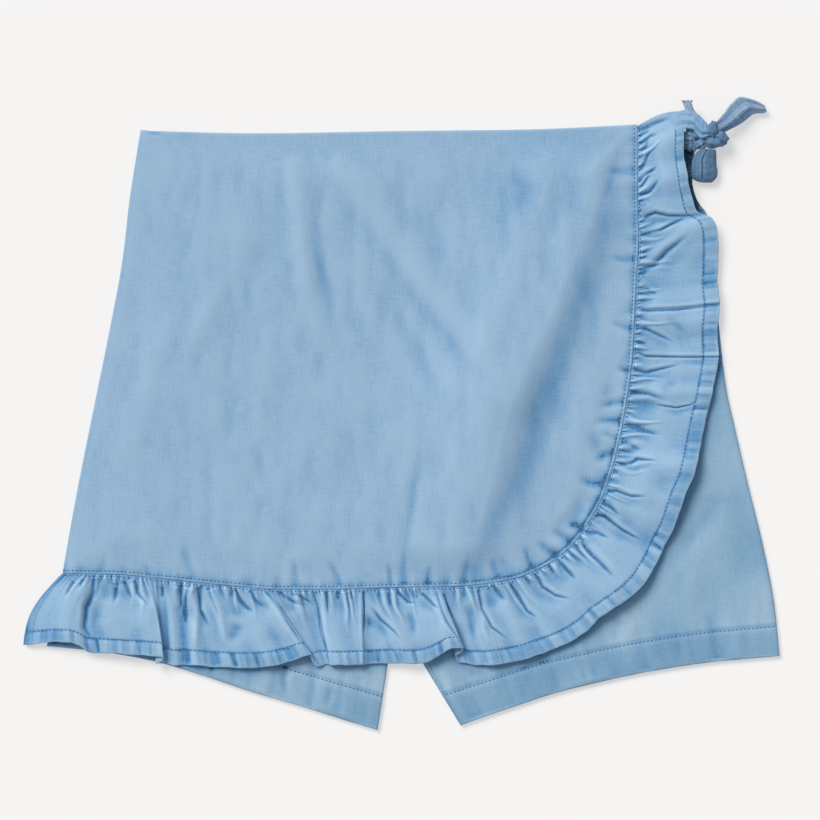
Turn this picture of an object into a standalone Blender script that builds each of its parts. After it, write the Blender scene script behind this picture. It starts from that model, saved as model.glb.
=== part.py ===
"""A child's ruffle wrap skort, laid flat on its back.

Shorts with an overskirt panel that wraps across the front, a gathered ruffle along the
panel's free edge, and a tie at the wearer's left hip. Metres, +Z up. X runs to the right of
the laid garment, Y towards the waist, and the garment lies on the plane z = 0.
Tables are in millimetres.
"""
import bmesh
import bpy
import numpy as np

MM = 0.001

# Driving sizes, in millimetres
CLOTH = 1.0               # wall of one layer of cloth with its nap
TIE_CLOTH = 1.2           # the tie is folded cloth
GAP = 0.3                 # clearance between pieces that touch
SEAM_GAP = 0.5            # the same between two pieces sewn edge to edge
SEAM_RISE = 0.3           # a seam's or a hem's doubled cloth stands this much higher
LEG_HEM = 17.0            # depth of the turned hem of a leg
LEG_LENGTH = 290.0        # a leg panel from waist to hem
WAISTBAND = 28.0          # depth of the elastic casing
BAND_LEANS = (-4.2, -2.1) # its foot lies this far along X from its top, at each side seam
PANEL_PUFF = 0.9          # the overskirt's middle stands this far off the shorts
PANEL_EDGE = 0.11         # share of the overskirt's size in which it rises from its edges
PANEL_SEAM = 0.033        # share in which its ruffled edge rises to the seam

# The ruffle, with shares counted from its seam to its hem
RUFFLE_HEM = 0.82         # share at which the turned hem starts
HEM_PITCH = 2.9           # along the hem, the longest step between two columns, millimetres
GATHER_PITCH = 2.3        # along the seam, half of one gather, millimetres
GATHER_HEIGHT = 1.1       # crest of a gather above its trough, millimetres
GATHER_FULL = 0.05        # share by which a gather has risen
GATHER_FADE = 0.10        # share at which it starts to fade
GATHER_END = 0.44         # share at which it is gone
SPRING = 0.6              # below 1, the ruffle lifts quickly from its seam
CROWN = 0.22              # bulge of a raised fold, as a share of its height

# How finely the cloth is divided
LEG_COLUMNS, LEG_ROWS = 11, 10
BAND_COLUMNS = 33
PANEL_COLUMNS, PANEL_ROWS = 25, 22
STRAP_COLUMNS = 7
LUMP_COLUMNS, LUMP_ROWS = 14, 9

# Heights of the middle of each layer
BACK_Z = CLOTH / 2
FRONT_Z = BACK_Z + CLOTH + GAP
PANEL_Z = FRONT_Z + CLOTH + GAP
SEAM_Z = PANEL_Z + SEAM_RISE

# Outlines: x, y of points on each edge
PANEL_WAIST = [(-140.7, 152.8), (-79.7, 151.4), (-0.8, 152.6), (66.7, 153.4), (127.2, 156.1)]
PANEL_SIDE = [(-140.7, 152.8), (-142.8, 140.0), (-146.6, 115.6), (-150.4, 83.2), (-156.3, 50.8),
              (-166.1, 2.2), (-175.8, -46.4), (-182.8, -85.9)]
SEAM = [(-182.8, -85.9), (-153.1, -86.4), (-129.9, -88.6), (-93.7, -92.3), (-65.1, -94.5),
        (-43.5, -94.5), (-0.8, -93.4), (28.4, -92.9), (57.0, -89.6), (78.0, -81.5),
        (93.2, -69.1), (101.8, -56.7), (109.4, -42.1), (117.5, -14.0), (122.3, 13.0),
        (124.5, 30.8), (126.6, 72.4), (127.7, 93.4), (127.2, 122.0), (127.2, 156.1)]
SEAM_CORNER = 283.0       # distance along the seam to the middle of its rounded corner

WAIST = [(-140.2, 152.0), (-79.7, 150.8), (-0.8, 151.8), (66.7, 152.6), (159.0, 152.0)]
RIGHT_SIDE = [(-140.2, 152.0), (-142.2, 140.0), (-146.0, 115.6), (-149.8, 83.2), (-155.7, 50.8),
              (-165.5, 2.2), (-175.2, -46.4), (-182.2, -85.9), (-191.4, -125.3)]
LEFT_SIDE = [(159.0, 152.0), (156.9, 142.6), (156.9, 125.3), (159.6, 115.0), (165.0, 107.5),
             (168.2, 88.6), (170.0, 64.0), (171.8, 42.7), (175.2, 14.0), (179.8, -7.0),
             (187.1, -38.3), (195.0, -70.7), (201.2, -103.1), (204.0, -130.5)]
RIGHT_HEM = [(-191.4, -125.3), (-168.2, -127.4), (-138.0, -132.3), (-105.6, -141.5),
             (-79.7, -150.1), (-53.7, -157.7), (-27.8, -165.8), (-12.7, -170.4)]
LEFT_HEM = [(204.0, -130.5), (166.6, -133.9), (134.2, -138.8), (108.3, -144.2), (82.4, -150.7),
            (56.4, -159.3), (31.6, -167.9)]
CENTRE_X = 8.9
RIGHT_INSEAM = [(-1.0, -103.7), (-7.3, -135.5), (-12.7, -170.4)]
LEFT_INSEAM = [(-0.6, -103.7), (13.4, -131.8), (31.6, -167.9)]
LEFT_BACK_INSEAM = [(-0.6, -110.0), (10.4, -133.0), (31.6, -167.9)]
BAND_TOP = [(-140.7, 153.4), (-126.0, 151.7), (-100.0, 150.4), (-60.0, 151.4), (0.0, 152.4),
            (66.0, 153.2), (107.0, 153.6), (159.0, 152.0)]

# The ruffle's sections, from its free left end round the corner and up to the tie.
# seam: distance along the seam; hem_x, hem_y, hem_z: where that section's hem lies;
# bow: how far the middle of the section swings along the seam.
# Where hem_x turns back, the cloth is folded under itself in a pleat.
RUFFLE_LOWER = [
    # seam, hem_x, hem_y, hem_z, bow
    (0.0, -204.0, -124.7, 1.8, -5.4), (3.8, -195.2, -123.7, 3.9, -4.8),
    (8.1, -187.1, -122.6, 5.6, -4.2), (13.0, -179.6, -122.9, 6.8, -3.8),
    (16.2, -173.6, -124.7, 5.6, -3.6), (18.4, -168.2, -128.3, 3.8, -3.5),
    (20.5, -164.4, -128.8, 3.7, -3.0), (26.5, -156.3, -129.1, 5.0, -1.0),
    (37.3, -143.9, -129.6, 5.8, 0.0), (43.6, -134.2, -130.1, 7.4, 0.8),
    (46.0, -128.3, -131.0, 7.6, 1.0), (47.4, -128.2, -132.6, 6.2, 1.0),
    (50.0, -132.2, -134.5, 5.2, 1.0), (51.4, -131.0, -134.3, 3.8, 1.0),
    (53.8, -126.1, -134.7, 3.5, 0.8), (58.0, -121.8, -135.5, 4.9, 0.0),
    (62.3, -116.4, -135.3, 3.9, 0.0), (67.7, -110.4, -135.5, 5.5, 0.0),
    (73.7, -104.0, -136.1, 4.1, 0.0), (80.7, -89.4, -136.6, 5.3, 0.0),
    (89.4, -81.8, -136.8, 4.5, 0.0), (97.5, -71.0, -135.8, 5.7, 0.0),
    (104.5, -60.2, -133.4, 6.8, 0.0), (108.0, -52.9, -130.7, 7.6, 0.0),
    (110.2, -48.8, -129.4, 7.2, 0.0), (112.0, -47.6, -131.6, 5.6, 0.0),
    (114.0, -46.4, -135.5, 4.0, 0.0), (118.2, -44.4, -136.2, 3.5, 0.0),
    (128.3, -40.4, -135.0, 3.5, 0.0), (134.2, -38.5, -135.0, 3.9, 0.5),
    (136.4, -38.1, -135.0, 5.6, 0.8), (138.6, -35.4, -135.3, 6.4, 0.5),
    (149.9, -26.7, -135.2, 5.4, 0.0), (160.7, -21.1, -135.0, 6.0, 0.0),
    (162.3, -19.7, -135.0, 4.6, 0.0), (163.4, -14.9, -134.7, 3.8, 0.0),
    (165.0, -4.1, -134.2, 3.8, 0.0), (167.2, 0.8, -134.2, 5.0, 0.0),
    (172.6, 4.6, -134.5, 5.6, 0.0), (185.0, 10.5, -134.5, 5.0, 0.0),
    (192.0, 15.4, -132.8, 5.8, 0.0), (197.4, 21.9, -129.1, 7.2, 0.0),
    (200.7, 27.8, -126.1, 8.4, 0.0), (202.8, 33.5, -126.1, 8.2, 0.0),
    (204.0, 32.6, -128.4, 6.8, 0.0), (204.9, 29.3, -130.2, 5.6, 0.0),
    (205.7, 30.5, -133.2, 4.2, 0.0), (207.8, 35.9, -134.7, 3.6, 0.0),
    (213.6, 42.4, -135.4, 3.6, 0.0), (219.0, 47.8, -135.3, 4.8, 0.0),
    (224.5, 54.8, -134.5, 4.8, 0.0),
]
RUFFLE_CORNER = [
    # seam, hem_x, hem_y, hem_z, bow
    (225.0, 55.2, -134.4, 4.8, 0.0), (228.0, 61.3, -133.4, 4.2, 0.0),
    (234.0, 69.4, -131.2, 5.2, 0.0), (240.4, 79.1, -127.7, 4.5, 0.0),
    (245.0, 85.6, -125.3, 5.4, 0.0), (256.5, 98.0, -118.3, 5.6, 0.0),
    (265.0, 106.1, -110.4, 6.9, 0.0), (272.5, 113.7, -104.8, 7.6, 0.0),
    (284.0, 124.5, -97.2, 7.2, 0.0), (292.0, 131.5, -90.2, 6.2, 0.0),
    (299.5, 136.9, -81.5, 4.8, 0.0), (305.0, 141.2, -72.4, 4.6, 0.0),
    (312.5, 147.7, -58.9, 6.4, 0.0), (319.0, 152.0, -45.4, 8.2, 0.0),
    (329.3, 158.0, -31.3, 7.9, 0.0), (341.0, 160.9, -18.4, 6.2, 0.0),
    (350.2, 162.8, -8.6, 5.0, 0.0), (365.6, 166.1, 5.9, 4.6, 0.0),
    (381.0, 169.3, 20.0, 5.5, 0.0), (388.0, 170.9, 30.0, 5.0, 0.0),
    (401.0, 170.4, 43.7, 4.4, 0.0), (414.0, 171.5, 58.9, 4.8, 0.0),
]
RUFFLE_SIDE = [
    # seam, hem_x, hem_y, hem_z, bow
    (414.5, 171.5, 59.4, 4.8, 0.0), (425.0, 170.4, 72.4, 4.2, 0.0),
    (438.7, 170.8, 85.9, 4.8, 0.0), (449.5, 170.1, 98.3, 5.6, 0.0),
    (455.0, 167.7, 105.3, 5.7, 0.0), (458.7, 162.8, 107.5, 5.0, 0.0),
    (463.0, 159.3, 109.1, 6.0, 0.0), (471.0, 156.3, 117.2, 7.6, 0.0),
    (480.2, 153.9, 127.4, 8.6, 0.0), (491.0, 152.0, 139.3, 9.0, 0.0),
    (500.8, 151.7, 149.0, 9.2, 0.5), (507.3, 152.0, 155.0, 9.0, 1.2),
    (513.5, 152.4, 163.0, 7.6, 2.4),
]
RUFFLE_ROWS = [0.0, 0.05, 0.14, 0.28, 0.44, 0.62, RUFFLE_HEM - 0.02, RUFFLE_HEM, 1.0]

# The overskirt's folds: three points on the crest, its height at those points, and how far
# it slopes away to the left and to the right of the crest.
PANEL_FOLDS = [
    # x0, y0, x1, y1, x2, y2, height0, height1, height2, left, right
    (101.8, 107.5, 55.9, 7.6, 32.7, -92.0, 0.5, 3.2, 0.6, 42.0, 13.0),
    (-57.5, 134.5, -52.1, 72.4, -44.0, 40.0, 0.6, 0.9, 0.2, 6.0, 8.0),
    (-33.2, 134.5, 15.4, 67.0, 61.3, 7.6, 0.8, 1.3, 0.3, 8.0, 12.0),
    (-81.8, 96.7, -114.2, 42.7, -150.0, -14.0, 0.4, 0.9, 0.3, 11.0, 9.0),
    (85.0, 142.0, 55.0, 67.0, 26.0, 7.0, 0.6, 0.9, 0.3, 12.0, 12.0),
]

# The tie's straps, as rows of two edges: x, y, z of one edge, then of the other, and the
# height of the fold between them.
TIE_STRAP = [
    # ax, ay, az, bx, by, bz, crown
    (153.8, 162.2, 7.2, 153.4, 154.8, 8.4, 0.8), (156.6, 162.6, 7.0, 156.9, 153.9, 8.0, 1.4),
    (159.6, 159.2, 7.0, 159.6, 151.6, 7.2, 1.8), (162.3, 156.2, 7.0, 162.3, 150.3, 6.8, 1.8),
    (164.4, 153.6, 7.0, 164.2, 151.9, 6.8, 1.0),
]
TIE_FRAYED_END = [
    (151.9, 168.0, 7.4, 156.0, 168.0, 7.4, 0.2), (153.1, 165.4, 7.2, 156.5, 165.2, 7.2, 0.4),
    (153.8, 163.2, 7.2, 157.0, 163.6, 7.2, 0.4),
]
TIE_TAIL = [
    (170.1, 154.8, 7.6, 172.6, 151.9, 6.6, 0.6), (171.0, 157.8, 7.4, 175.4, 153.0, 6.2, 1.4),
    (174.4, 162.4, 7.0, 180.0, 156.6, 4.8, 2.0), (178.0, 167.6, 6.6, 184.4, 159.6, 4.2, 2.4),
    (181.4, 170.3, 6.0, 187.8, 162.2, 4.0, 2.2),
    (186.0, 169.6, 5.4, 191.6, 162.4, 3.6, 1.6), (190.4, 168.2, 4.8, 193.8, 162.7, 3.2, 1.0),
    (194.0, 166.8, 4.0, 195.6, 163.1, 3.0, 0.5), (196.4, 165.2, 3.4, 196.6, 163.8, 2.9, 0.1),
]
TIE_LOOP = [
    (161.2, 141.0, 6.6, 168.0, 142.1, 6.4, 0.4), (158.6, 135.4, 4.6, 169.4, 136.0, 4.8, 2.2),
    (157.6, 130.6, 4.0, 170.0, 131.2, 4.2, 2.6), (158.0, 127.8, 3.8, 170.2, 128.4, 3.8, 2.2),
    (159.8, 126.0, 3.4, 168.6, 126.3, 3.4, 1.2), (162.4, 125.1, 3.0, 166.6, 125.1, 3.0, 0.4),
]
# Lumps of wound cloth: centre, then half sizes
KNOT_LUMPS = [
    (171.2, 147.2, 5.8, 5.0, 4.3, 4.6), (167.4, 152.6, 6.6, 2.6, 5.2, 4.6),
    (166.0, 145.6, 6.0, 3.4, 3.0, 3.8),
]
BUNCH = (158.0, 147.0, 4.3, 5.0, 6.2, 1.5)
BUNCH_PLEATS = 7
BUNCH_RIDGE = 0.12        # depth of its pleats, as a share of its half height

# Colours: red, green, blue, linear
CHAMBRAY = (0.34, 0.50, 0.69)
CHAMBRAY_DEEP = (0.24, 0.41, 0.61)
CHAMBRAY_TIE = (0.16, 0.29, 0.45)


def smooth_curve(points, steps=24):
    """A smooth curve through the points, as distances along it and its x and y."""
    points = np.array(points, float)
    knots = np.concatenate([[0.0], np.cumsum(np.hypot(*np.diff(points, axis=0).T))])
    fine = np.linspace(0.0, knots[-1], steps * len(points))
    xy = np.stack([through(knots, points[:, axis], fine) for axis in (0, 1)], axis=1)
    lengths = np.concatenate([[0.0], np.cumsum(np.hypot(*np.diff(xy, axis=0).T))])
    return lengths, xy


def straight_curve(points):
    """A curve with sharp corners at the points."""
    points = np.array(points, float)
    lengths = np.concatenate([[0.0], np.cumsum(np.hypot(*np.diff(points, axis=0).T))])
    return lengths, points


def along(curve, distance):
    """The curve's point at a distance from its start."""
    lengths, xy = curve
    return np.stack([np.interp(distance, lengths, xy[:, axis]) for axis in (0, 1)], axis=-1)


def part_of(curve, start, end):
    """A function that runs from the curve's start distance to its end distance."""
    return lambda share: along(curve, start + (end - start) * share)


def whole(curve):
    """A function that runs along the whole curve as its share goes from 0 to 1."""
    return part_of(curve, 0.0, curve[0][-1])


def through(knots, values, at):
    """A smooth line through the values at the knots that never passes beyond them."""
    knots, values, at = (np.asarray(item, float) for item in (knots, values, at))
    step = np.diff(knots)
    slope = np.diff(values) / step
    tangent = np.zeros_like(values)
    tangent[0], tangent[-1] = slope[0], slope[-1]
    same_way = slope[:-1] * slope[1:] > 0
    mean = 2 * slope[:-1] * slope[1:] / np.where(same_way, slope[:-1] + slope[1:], 1.0)
    tangent[1:-1] = np.where(same_way, mean, 0.0)
    index = np.clip(np.searchsorted(knots, at, side="right") - 1, 0, len(step) - 1)
    width = step[index]
    t = (at - knots[index]) / width
    return (values[index] * (1 + 2 * t) * (1 - t) ** 2 + values[index + 1] * t * t * (3 - 2 * t)
            + tangent[index] * width * t * (1 - t) ** 2
            + tangent[index + 1] * width * t * t * (t - 1))


def smooth_step(value):
    value = np.clip(value, 0.0, 1.0)
    return value * value * (3 - 2 * value)


def patch(top, bottom, left, right):
    """A sheet stretched between four edges, each a function from 0 to 1."""
    def place(u, v):
        across = (1 - v)[:, None] * top(u) + v[:, None] * bottom(u)
        down = (1 - u)[:, None] * left(v) + u[:, None] * right(v)
        corners = ((1 - u) * (1 - v))[:, None] * top(0.0) + (u * (1 - v))[:, None] * top(1.0)
        corners += ((1 - u) * v)[:, None] * bottom(0.0) + (u * v)[:, None] * bottom(1.0)
        return across + down - corners
    return place


def material(name, colour):
    cloth = bpy.data.materials.new(name)
    cloth.use_nodes = True
    shader = cloth.node_tree.nodes["Principled BSDF"]
    shader.inputs["Base Color"].default_value = (*colour, 1.0)
    shader.inputs["Roughness"].default_value = 0.9
    shader.inputs["Metallic"].default_value = 0.0
    return cloth


def add_object(name, mesh, colour, collection, parent):
    item = bpy.data.objects.new(name, mesh)
    collection.objects.link(item)
    item.parent = parent
    mesh.materials.append(material(name, colour))
    return item


def sheet_mesh(name, columns, rows, place):
    """A grid of cloth whose point at (column, row) lies where place says, in millimetres."""
    bm = bmesh.new()
    across, down = len(columns) - 1, len(rows) - 1
    bmesh.ops.create_grid(bm, x_segments=across, y_segments=down, size=0.5)
    column_of = [round((vert.co.x + 0.5) * across) for vert in bm.verts]
    row_of = [round((0.5 - vert.co.y) * down) for vert in bm.verts]
    points = place(np.array(columns, float)[column_of], np.array(rows, float)[row_of])
    for vert, point in zip(bm.verts, points):
        vert.co = point * MM
    mesh = bpy.data.meshes.new(name)
    bm.to_mesh(mesh)
    bm.free()
    return mesh


def cloth_piece(name, columns, rows, place, colour, collection, parent, wall=CLOTH):
    """A piece of cloth: a sheet with a wall of the cloth's thickness about it."""
    mesh = sheet_mesh(name, columns, rows, place)
    item = add_object(name, mesh, colour, collection, parent)
    solidify = item.modifiers.new("cloth", "SOLIDIFY")
    solidify.thickness = wall * MM
    solidify.offset = 0.0
    mesh.shade_smooth()
    return item


def point_at_x(curve, x):
    """The distance along the curve at which it passes x."""
    lengths, xy = curve
    return np.interp(x, xy[:, 0], lengths)


def leg_panel(name, top, start, end, side, inner, hem, lower, z, rise, collection, parent):
    """A leg panel between its side seam, its hem and its centre seam with the inseam below.

    Its top runs along the curve top from start to end, lowered by lower at the side seam.
    """
    inner = [tuple(along(top, end)), *inner]
    edge = [tuple(along(top, start)), *side[1:]]
    shape = patch(part_of(top, start, end), whole(smooth_curve(hem)),
                  whole(smooth_curve(edge)), whole(straight_curve(inner)))
    hem_row = 1 - LEG_HEM / LEG_LENGTH

    def place(u, v):
        near_top = 1 - smooth_step(4 * v)
        lowered = np.column_stack([lower[0] * (1 - u), np.full(len(u), lower[1])])
        xy = shape(u, v) + lowered * near_top[:, None]
        return np.column_stack([xy, z + rise * (v >= hem_row)])
    rows = [*np.linspace(0.0, hem_row - 0.004, LEG_ROWS), hem_row, 1.0]
    columns = np.linspace(0.0, 1.0, LEG_COLUMNS)
    cloth_piece(name, columns, rows, place, CHAMBRAY_DEEP, collection, parent)


def leg_panels(collection, parent):
    """Two backs on the table and two fronts on them, each front with its raised hem."""
    waist, band = smooth_curve(WAIST), smooth_curve(BAND_TOP)
    half = SEAM_GAP / 2
    right_in = [(x - half, y) for x, y in RIGHT_INSEAM]
    left_in = [(x + half, y) for x, y in LEFT_INSEAM]
    left_back_in = [(x + half, y) for x, y in LEFT_BACK_INSEAM]
    none, foot = (0.0, 0.0), -WAISTBAND - SEAM_GAP
    right_front = (waist, 0.0, point_at_x(waist, CENTRE_X) - half)
    left_front = (waist, waist[0][-1], point_at_x(waist, CENTRE_X) + half)
    right_back = (band, 0.0, point_at_x(band, CENTRE_X) - half)
    left_back = (band, band[0][-1], point_at_x(band, CENTRE_X) + half)
    leg_panel("shorts_front_right_leg", *right_front, RIGHT_SIDE, right_in, RIGHT_HEM,
              none, FRONT_Z, SEAM_RISE, collection, parent)
    leg_panel("shorts_front_left_leg", *left_front, LEFT_SIDE, left_in, LEFT_HEM,
              none, FRONT_Z, SEAM_RISE, collection, parent)
    leg_panel("shorts_back_right_leg", *right_back, RIGHT_SIDE, right_in, RIGHT_HEM,
              (BAND_LEANS[0], foot), BACK_Z, 0.0, collection, parent)
    leg_panel("shorts_back_left_leg", *left_back, LEFT_SIDE, left_back_in, LEFT_HEM,
              (BAND_LEANS[1], foot), BACK_Z, 0.0, collection, parent)


def back_waistband(collection, parent):
    """The elastic casing, whose edge shows above the front at the right hip."""
    top = whole(smooth_curve(BAND_TOP))

    def place(u, v):
        lean = BAND_LEANS[0] * (1 - u) + BAND_LEANS[1] * u
        foot = np.column_stack([lean, np.full(len(u), -WAISTBAND)])
        return np.column_stack([top(u) + foot * v[:, None], np.full(len(u), BACK_Z)])
    columns = np.linspace(0.0, 1.0, BAND_COLUMNS)
    cloth_piece("back_waistband", columns, [0.0, 1.0], place, CHAMBRAY_DEEP, collection, parent)


def fold_height(x, y, fold):
    """How much one fold lifts the overskirt at x, y."""
    x0, y0, x1, y1, x2, y2, *heights, left, right = fold
    best = np.full(x.shape, np.inf)
    lift = np.zeros(x.shape)
    runs = [((x0, y0), (x1, y1), heights[0], heights[1]),
            ((x1, y1), (x2, y2), heights[1], heights[2])]
    for (ax, ay), (bx, by), low, high in runs:
        length = np.hypot(bx - ax, by - ay)
        dx, dy = (bx - ax) / length, (by - ay) / length
        run = (x - ax) * dx + (y - ay) * dy
        share = np.clip(run / length, 0.0, 1.0)
        past = np.maximum(0.0, np.maximum(-run, run - length))
        side = (y - ay) * dx - (x - ax) * dy
        reach = np.where(side > 0, right, left)
        distance = np.hypot(side, past)
        here = (low + (high - low) * share) * np.exp(-(side / reach) ** 2 - (past / right) ** 2)
        closer = distance < best
        lift = np.where(closer, here, lift)
        best = np.where(closer, distance, best)
    return lift


def wrap_panel(collection, parent):
    """The overskirt, one plain sheet with a rounded corner, lifted by its soft folds."""
    seam = smooth_curve(SEAM)
    shape = patch(whole(smooth_curve(PANEL_WAIST)), part_of(seam, 0.0, SEAM_CORNER),
                  whole(smooth_curve(PANEL_SIDE)), part_of(seam, seam[0][-1], SEAM_CORNER))

    def place(u, v):
        xy = shape(u, v)
        x, y = xy.T
        inside = smooth_step(np.minimum.reduce([u, 1 - u, v, 1 - v]) / PANEL_EDGE)
        at_seam = smooth_step(1 - np.minimum(1 - u, 1 - v) / PANEL_SEAM)
        lift = sum(fold_height(x, y, fold) for fold in PANEL_FOLDS)
        height = PANEL_Z + inside * (PANEL_PUFF + lift) + at_seam * SEAM_RISE
        return np.column_stack([xy, height])
    columns, rows = np.linspace(0.0, 1.0, PANEL_COLUMNS), np.linspace(0.0, 1.0, PANEL_ROWS)
    cloth_piece("wrap_panel", columns, rows, place, CHAMBRAY, collection, parent)


def section_counts(sections):
    """How many columns of cloth lie between each section and the next."""
    table = np.array(sections, float)
    seam_run = np.diff(table[:, 0])
    hem_run = np.linalg.norm(np.diff(table[:, 1:4], axis=0), axis=1)
    wanted = np.maximum(seam_run / GATHER_PITCH, hem_run / HEM_PITCH)
    return np.maximum(1, np.rint(wanted)).astype(int)


def ruffle_run(name, sections, collection, parent):
    """One strip of the ruffle: gathered at the seam, free in folds at its hem."""
    seam = smooth_curve(SEAM)
    table = np.array(sections, float)
    counts = section_counts(sections)
    knots = np.concatenate([[0], np.cumsum(counts)])

    def place(c, v):
        distance, hem_x, hem_y, hem_z, bow = (through(knots, table[:, k], c) for k in range(5))
        start = along(seam, distance)
        ahead = along(seam, distance + 0.5) - along(seam, distance - 0.5)
        ahead = ahead / np.linalg.norm(ahead, axis=1)[:, None]
        hem = np.column_stack([hem_x, hem_y])
        width = np.linalg.norm(hem - start, axis=1)
        share = (SEAM_GAP + v * (width - SEAM_GAP)) / width
        xy = start + (hem - start) * share[:, None]
        xy = xy + ahead * (bow * np.sin(np.pi * v))[:, None]
        lift = (hem_z - SEAM_Z) * (v ** SPRING + CROWN * np.sin(np.pi * v))
        pitch = through(knots, table[:, 0], c + 0.5) - through(knots, table[:, 0], c - 0.5)
        room = np.clip(pitch / GATHER_PITCH, 0.0, 1.0) ** 2
        gather = 0.5 * (1 + np.cos(np.pi * c)) * GATHER_HEIGHT * room
        fade = smooth_step((GATHER_END - v) / (GATHER_END - GATHER_FADE))
        gather = gather * smooth_step(v / GATHER_FULL) * fade
        return np.column_stack([xy, SEAM_Z + lift + gather + SEAM_RISE * (v >= RUFFLE_HEM)])
    columns = np.arange(knots[-1] + 1)
    cloth_piece(name, columns, RUFFLE_ROWS, place, CHAMBRAY, collection, parent)
    return knots[-1]


def strap(name, rows, collection, parent):
    """A stretch of the tie, a sheet between two edges with a soft fold along it."""
    table = np.array(rows, float)
    knots = np.arange(len(rows))

    def place(v, u):
        ax, ay, az, bx, by, bz, crown = (through(knots, table[:, k], v) for k in range(7))
        first, second = np.column_stack([ax, ay, az]), np.column_stack([bx, by, bz])
        point = first + (second - first) * u[:, None]
        point[:, 2] += crown * np.sin(np.pi * u)
        return point
    columns = np.linspace(0.0, len(rows) - 1, 2 * len(rows) - 1)
    cloth_piece(name, columns, np.linspace(0.0, 1.0, STRAP_COLUMNS), place, CHAMBRAY_TIE,
                collection, parent, wall=TIE_CLOTH)


def lump_mesh(name, lump, pleats=0):
    """A wound lump of cloth, with pleats along it where it is bunched."""
    x, y, z, half_x, half_y, half_z = lump
    bm = bmesh.new()
    bmesh.ops.create_uvsphere(bm, u_segments=LUMP_COLUMNS, v_segments=LUMP_ROWS, radius=1.0)
    for vert in bm.verts:
        ridge = 1 + BUNCH_RIDGE * np.cos(pleats * np.pi * vert.co.x) * bool(pleats)
        vert.co.x = (x + half_x * vert.co.x) * MM
        vert.co.y = (y + half_y * vert.co.y) * MM
        vert.co.z = (z + half_z * vert.co.z * ridge) * MM
    mesh = bpy.data.meshes.new(name)
    bm.to_mesh(mesh)
    bm.free()
    mesh.shade_smooth()
    return mesh


def knot(collection, cutters, parent):
    """The knot, its turns of cloth pulled tight into one lump."""
    first, *others = KNOT_LUMPS
    body = add_object("tie_knot", lump_mesh("tie_knot", first), CHAMBRAY_TIE, collection, parent)
    for number, lump in enumerate(others, 1):
        turn = add_object(f"knot_turn_{number}", lump_mesh(f"knot_turn_{number}", lump),
                          CHAMBRAY_TIE, cutters, parent)
        turn.hide_render = True
        turn.display_type = "WIRE"
        join = body.modifiers.new(f"turn_{number}", "BOOLEAN")
        join.operation = "UNION"
        join.object = turn


def clear_scene():
    for item in list(bpy.data.objects):
        bpy.data.objects.remove(item, do_unlink=True)


def main():
    clear_scene()
    scene = bpy.context.scene
    collection = bpy.data.collections.new("ruffle_wrap_skort")
    cutters = bpy.data.collections.new("cutters")
    scene.collection.children.link(collection)
    scene.collection.children.link(cutters)
    garment = bpy.data.objects.new("garment", None)
    collection.objects.link(garment)

    leg_panels(collection, garment)
    back_waistband(collection, garment)
    wrap_panel(collection, garment)
    gathers = [ruffle_run("ruffle_hem_run", RUFFLE_LOWER, collection, garment),
               ruffle_run("ruffle_corner_run", RUFFLE_CORNER, collection, garment),
               ruffle_run("ruffle_side_run", RUFFLE_SIDE, collection, garment)]
    strap("tie_strap", TIE_STRAP, collection, garment)
    strap("tie_frayed_end", TIE_FRAYED_END, collection, garment)
    strap("tie_tail", TIE_TAIL, collection, garment)
    strap("tie_loop", TIE_LOOP, collection, garment)
    bunch = lump_mesh("tie_bunched_end", BUNCH, BUNCH_PLEATS)
    add_object("tie_bunched_end", bunch, CHAMBRAY_TIE, collection, garment)
    knot(collection, cutters, garment)
    print("gathers along the ruffle:", sum(gathers) // 2)


main()
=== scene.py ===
# %% [markdown]
# A child's ruffle wrap skort, laid flat
#
# The garment is a pair of shorts with an overskirt that wraps across the front. A gathered
# ruffle runs along the overskirt's free edge, and a tie holds it at the wearer's left hip.
# It is sewn from a light blue chambray that was washed after sewing, so ridges and edges
# have gone pale and the cloth inside the gathers has kept its dye.
# This lesson dresses the plain solids of the frame with that cloth. All lengths in the
# tables are millimetres, X to the right of the laid garment, Y to its waist, Z up.

# %% Load the frame
import math
import bpy
import bmesh
import numpy as np
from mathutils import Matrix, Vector
from mathutils.bvhtree import BVHTree


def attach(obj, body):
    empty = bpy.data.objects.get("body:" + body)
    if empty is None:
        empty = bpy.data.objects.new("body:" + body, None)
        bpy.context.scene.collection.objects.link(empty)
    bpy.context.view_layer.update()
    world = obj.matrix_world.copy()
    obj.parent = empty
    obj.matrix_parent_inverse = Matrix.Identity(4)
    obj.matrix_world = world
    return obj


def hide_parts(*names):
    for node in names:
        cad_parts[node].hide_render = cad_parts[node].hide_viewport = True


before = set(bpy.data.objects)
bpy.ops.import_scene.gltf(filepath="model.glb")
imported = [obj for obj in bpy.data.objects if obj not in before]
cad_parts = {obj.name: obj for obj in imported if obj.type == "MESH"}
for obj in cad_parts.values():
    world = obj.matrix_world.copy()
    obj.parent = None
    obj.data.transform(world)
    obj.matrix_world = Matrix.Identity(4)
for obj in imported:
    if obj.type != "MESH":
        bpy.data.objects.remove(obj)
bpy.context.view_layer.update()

MM = 0.001
print("solids in the frame:", len(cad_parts))

# %% [markdown]
# Curves
#
# A sewing pattern is drawn with a few points and a smooth line through them. Blender's own
# curves could hold such lines, but here they are also measured, cut and stretched, which is
# easier with plain formulas. A curve is kept as distances along it and the points there, and
# a patch of cloth is stretched between four such curves. The first four helpers serve every
# step: an easing, a soft bump, the points of a grid, and a new object in the scene.

# %% Smooth curves and patches
def smooth_step(value):
    """Eases from 0 to 1."""
    value = np.clip(value, 0.0, 1.0)
    return value * value * (3 - 2 * value)


def bell(distance, reach):
    """1 where the distance is 0, and fading out round it over about the reach."""
    return np.exp(-(distance / reach) ** 2)


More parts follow.
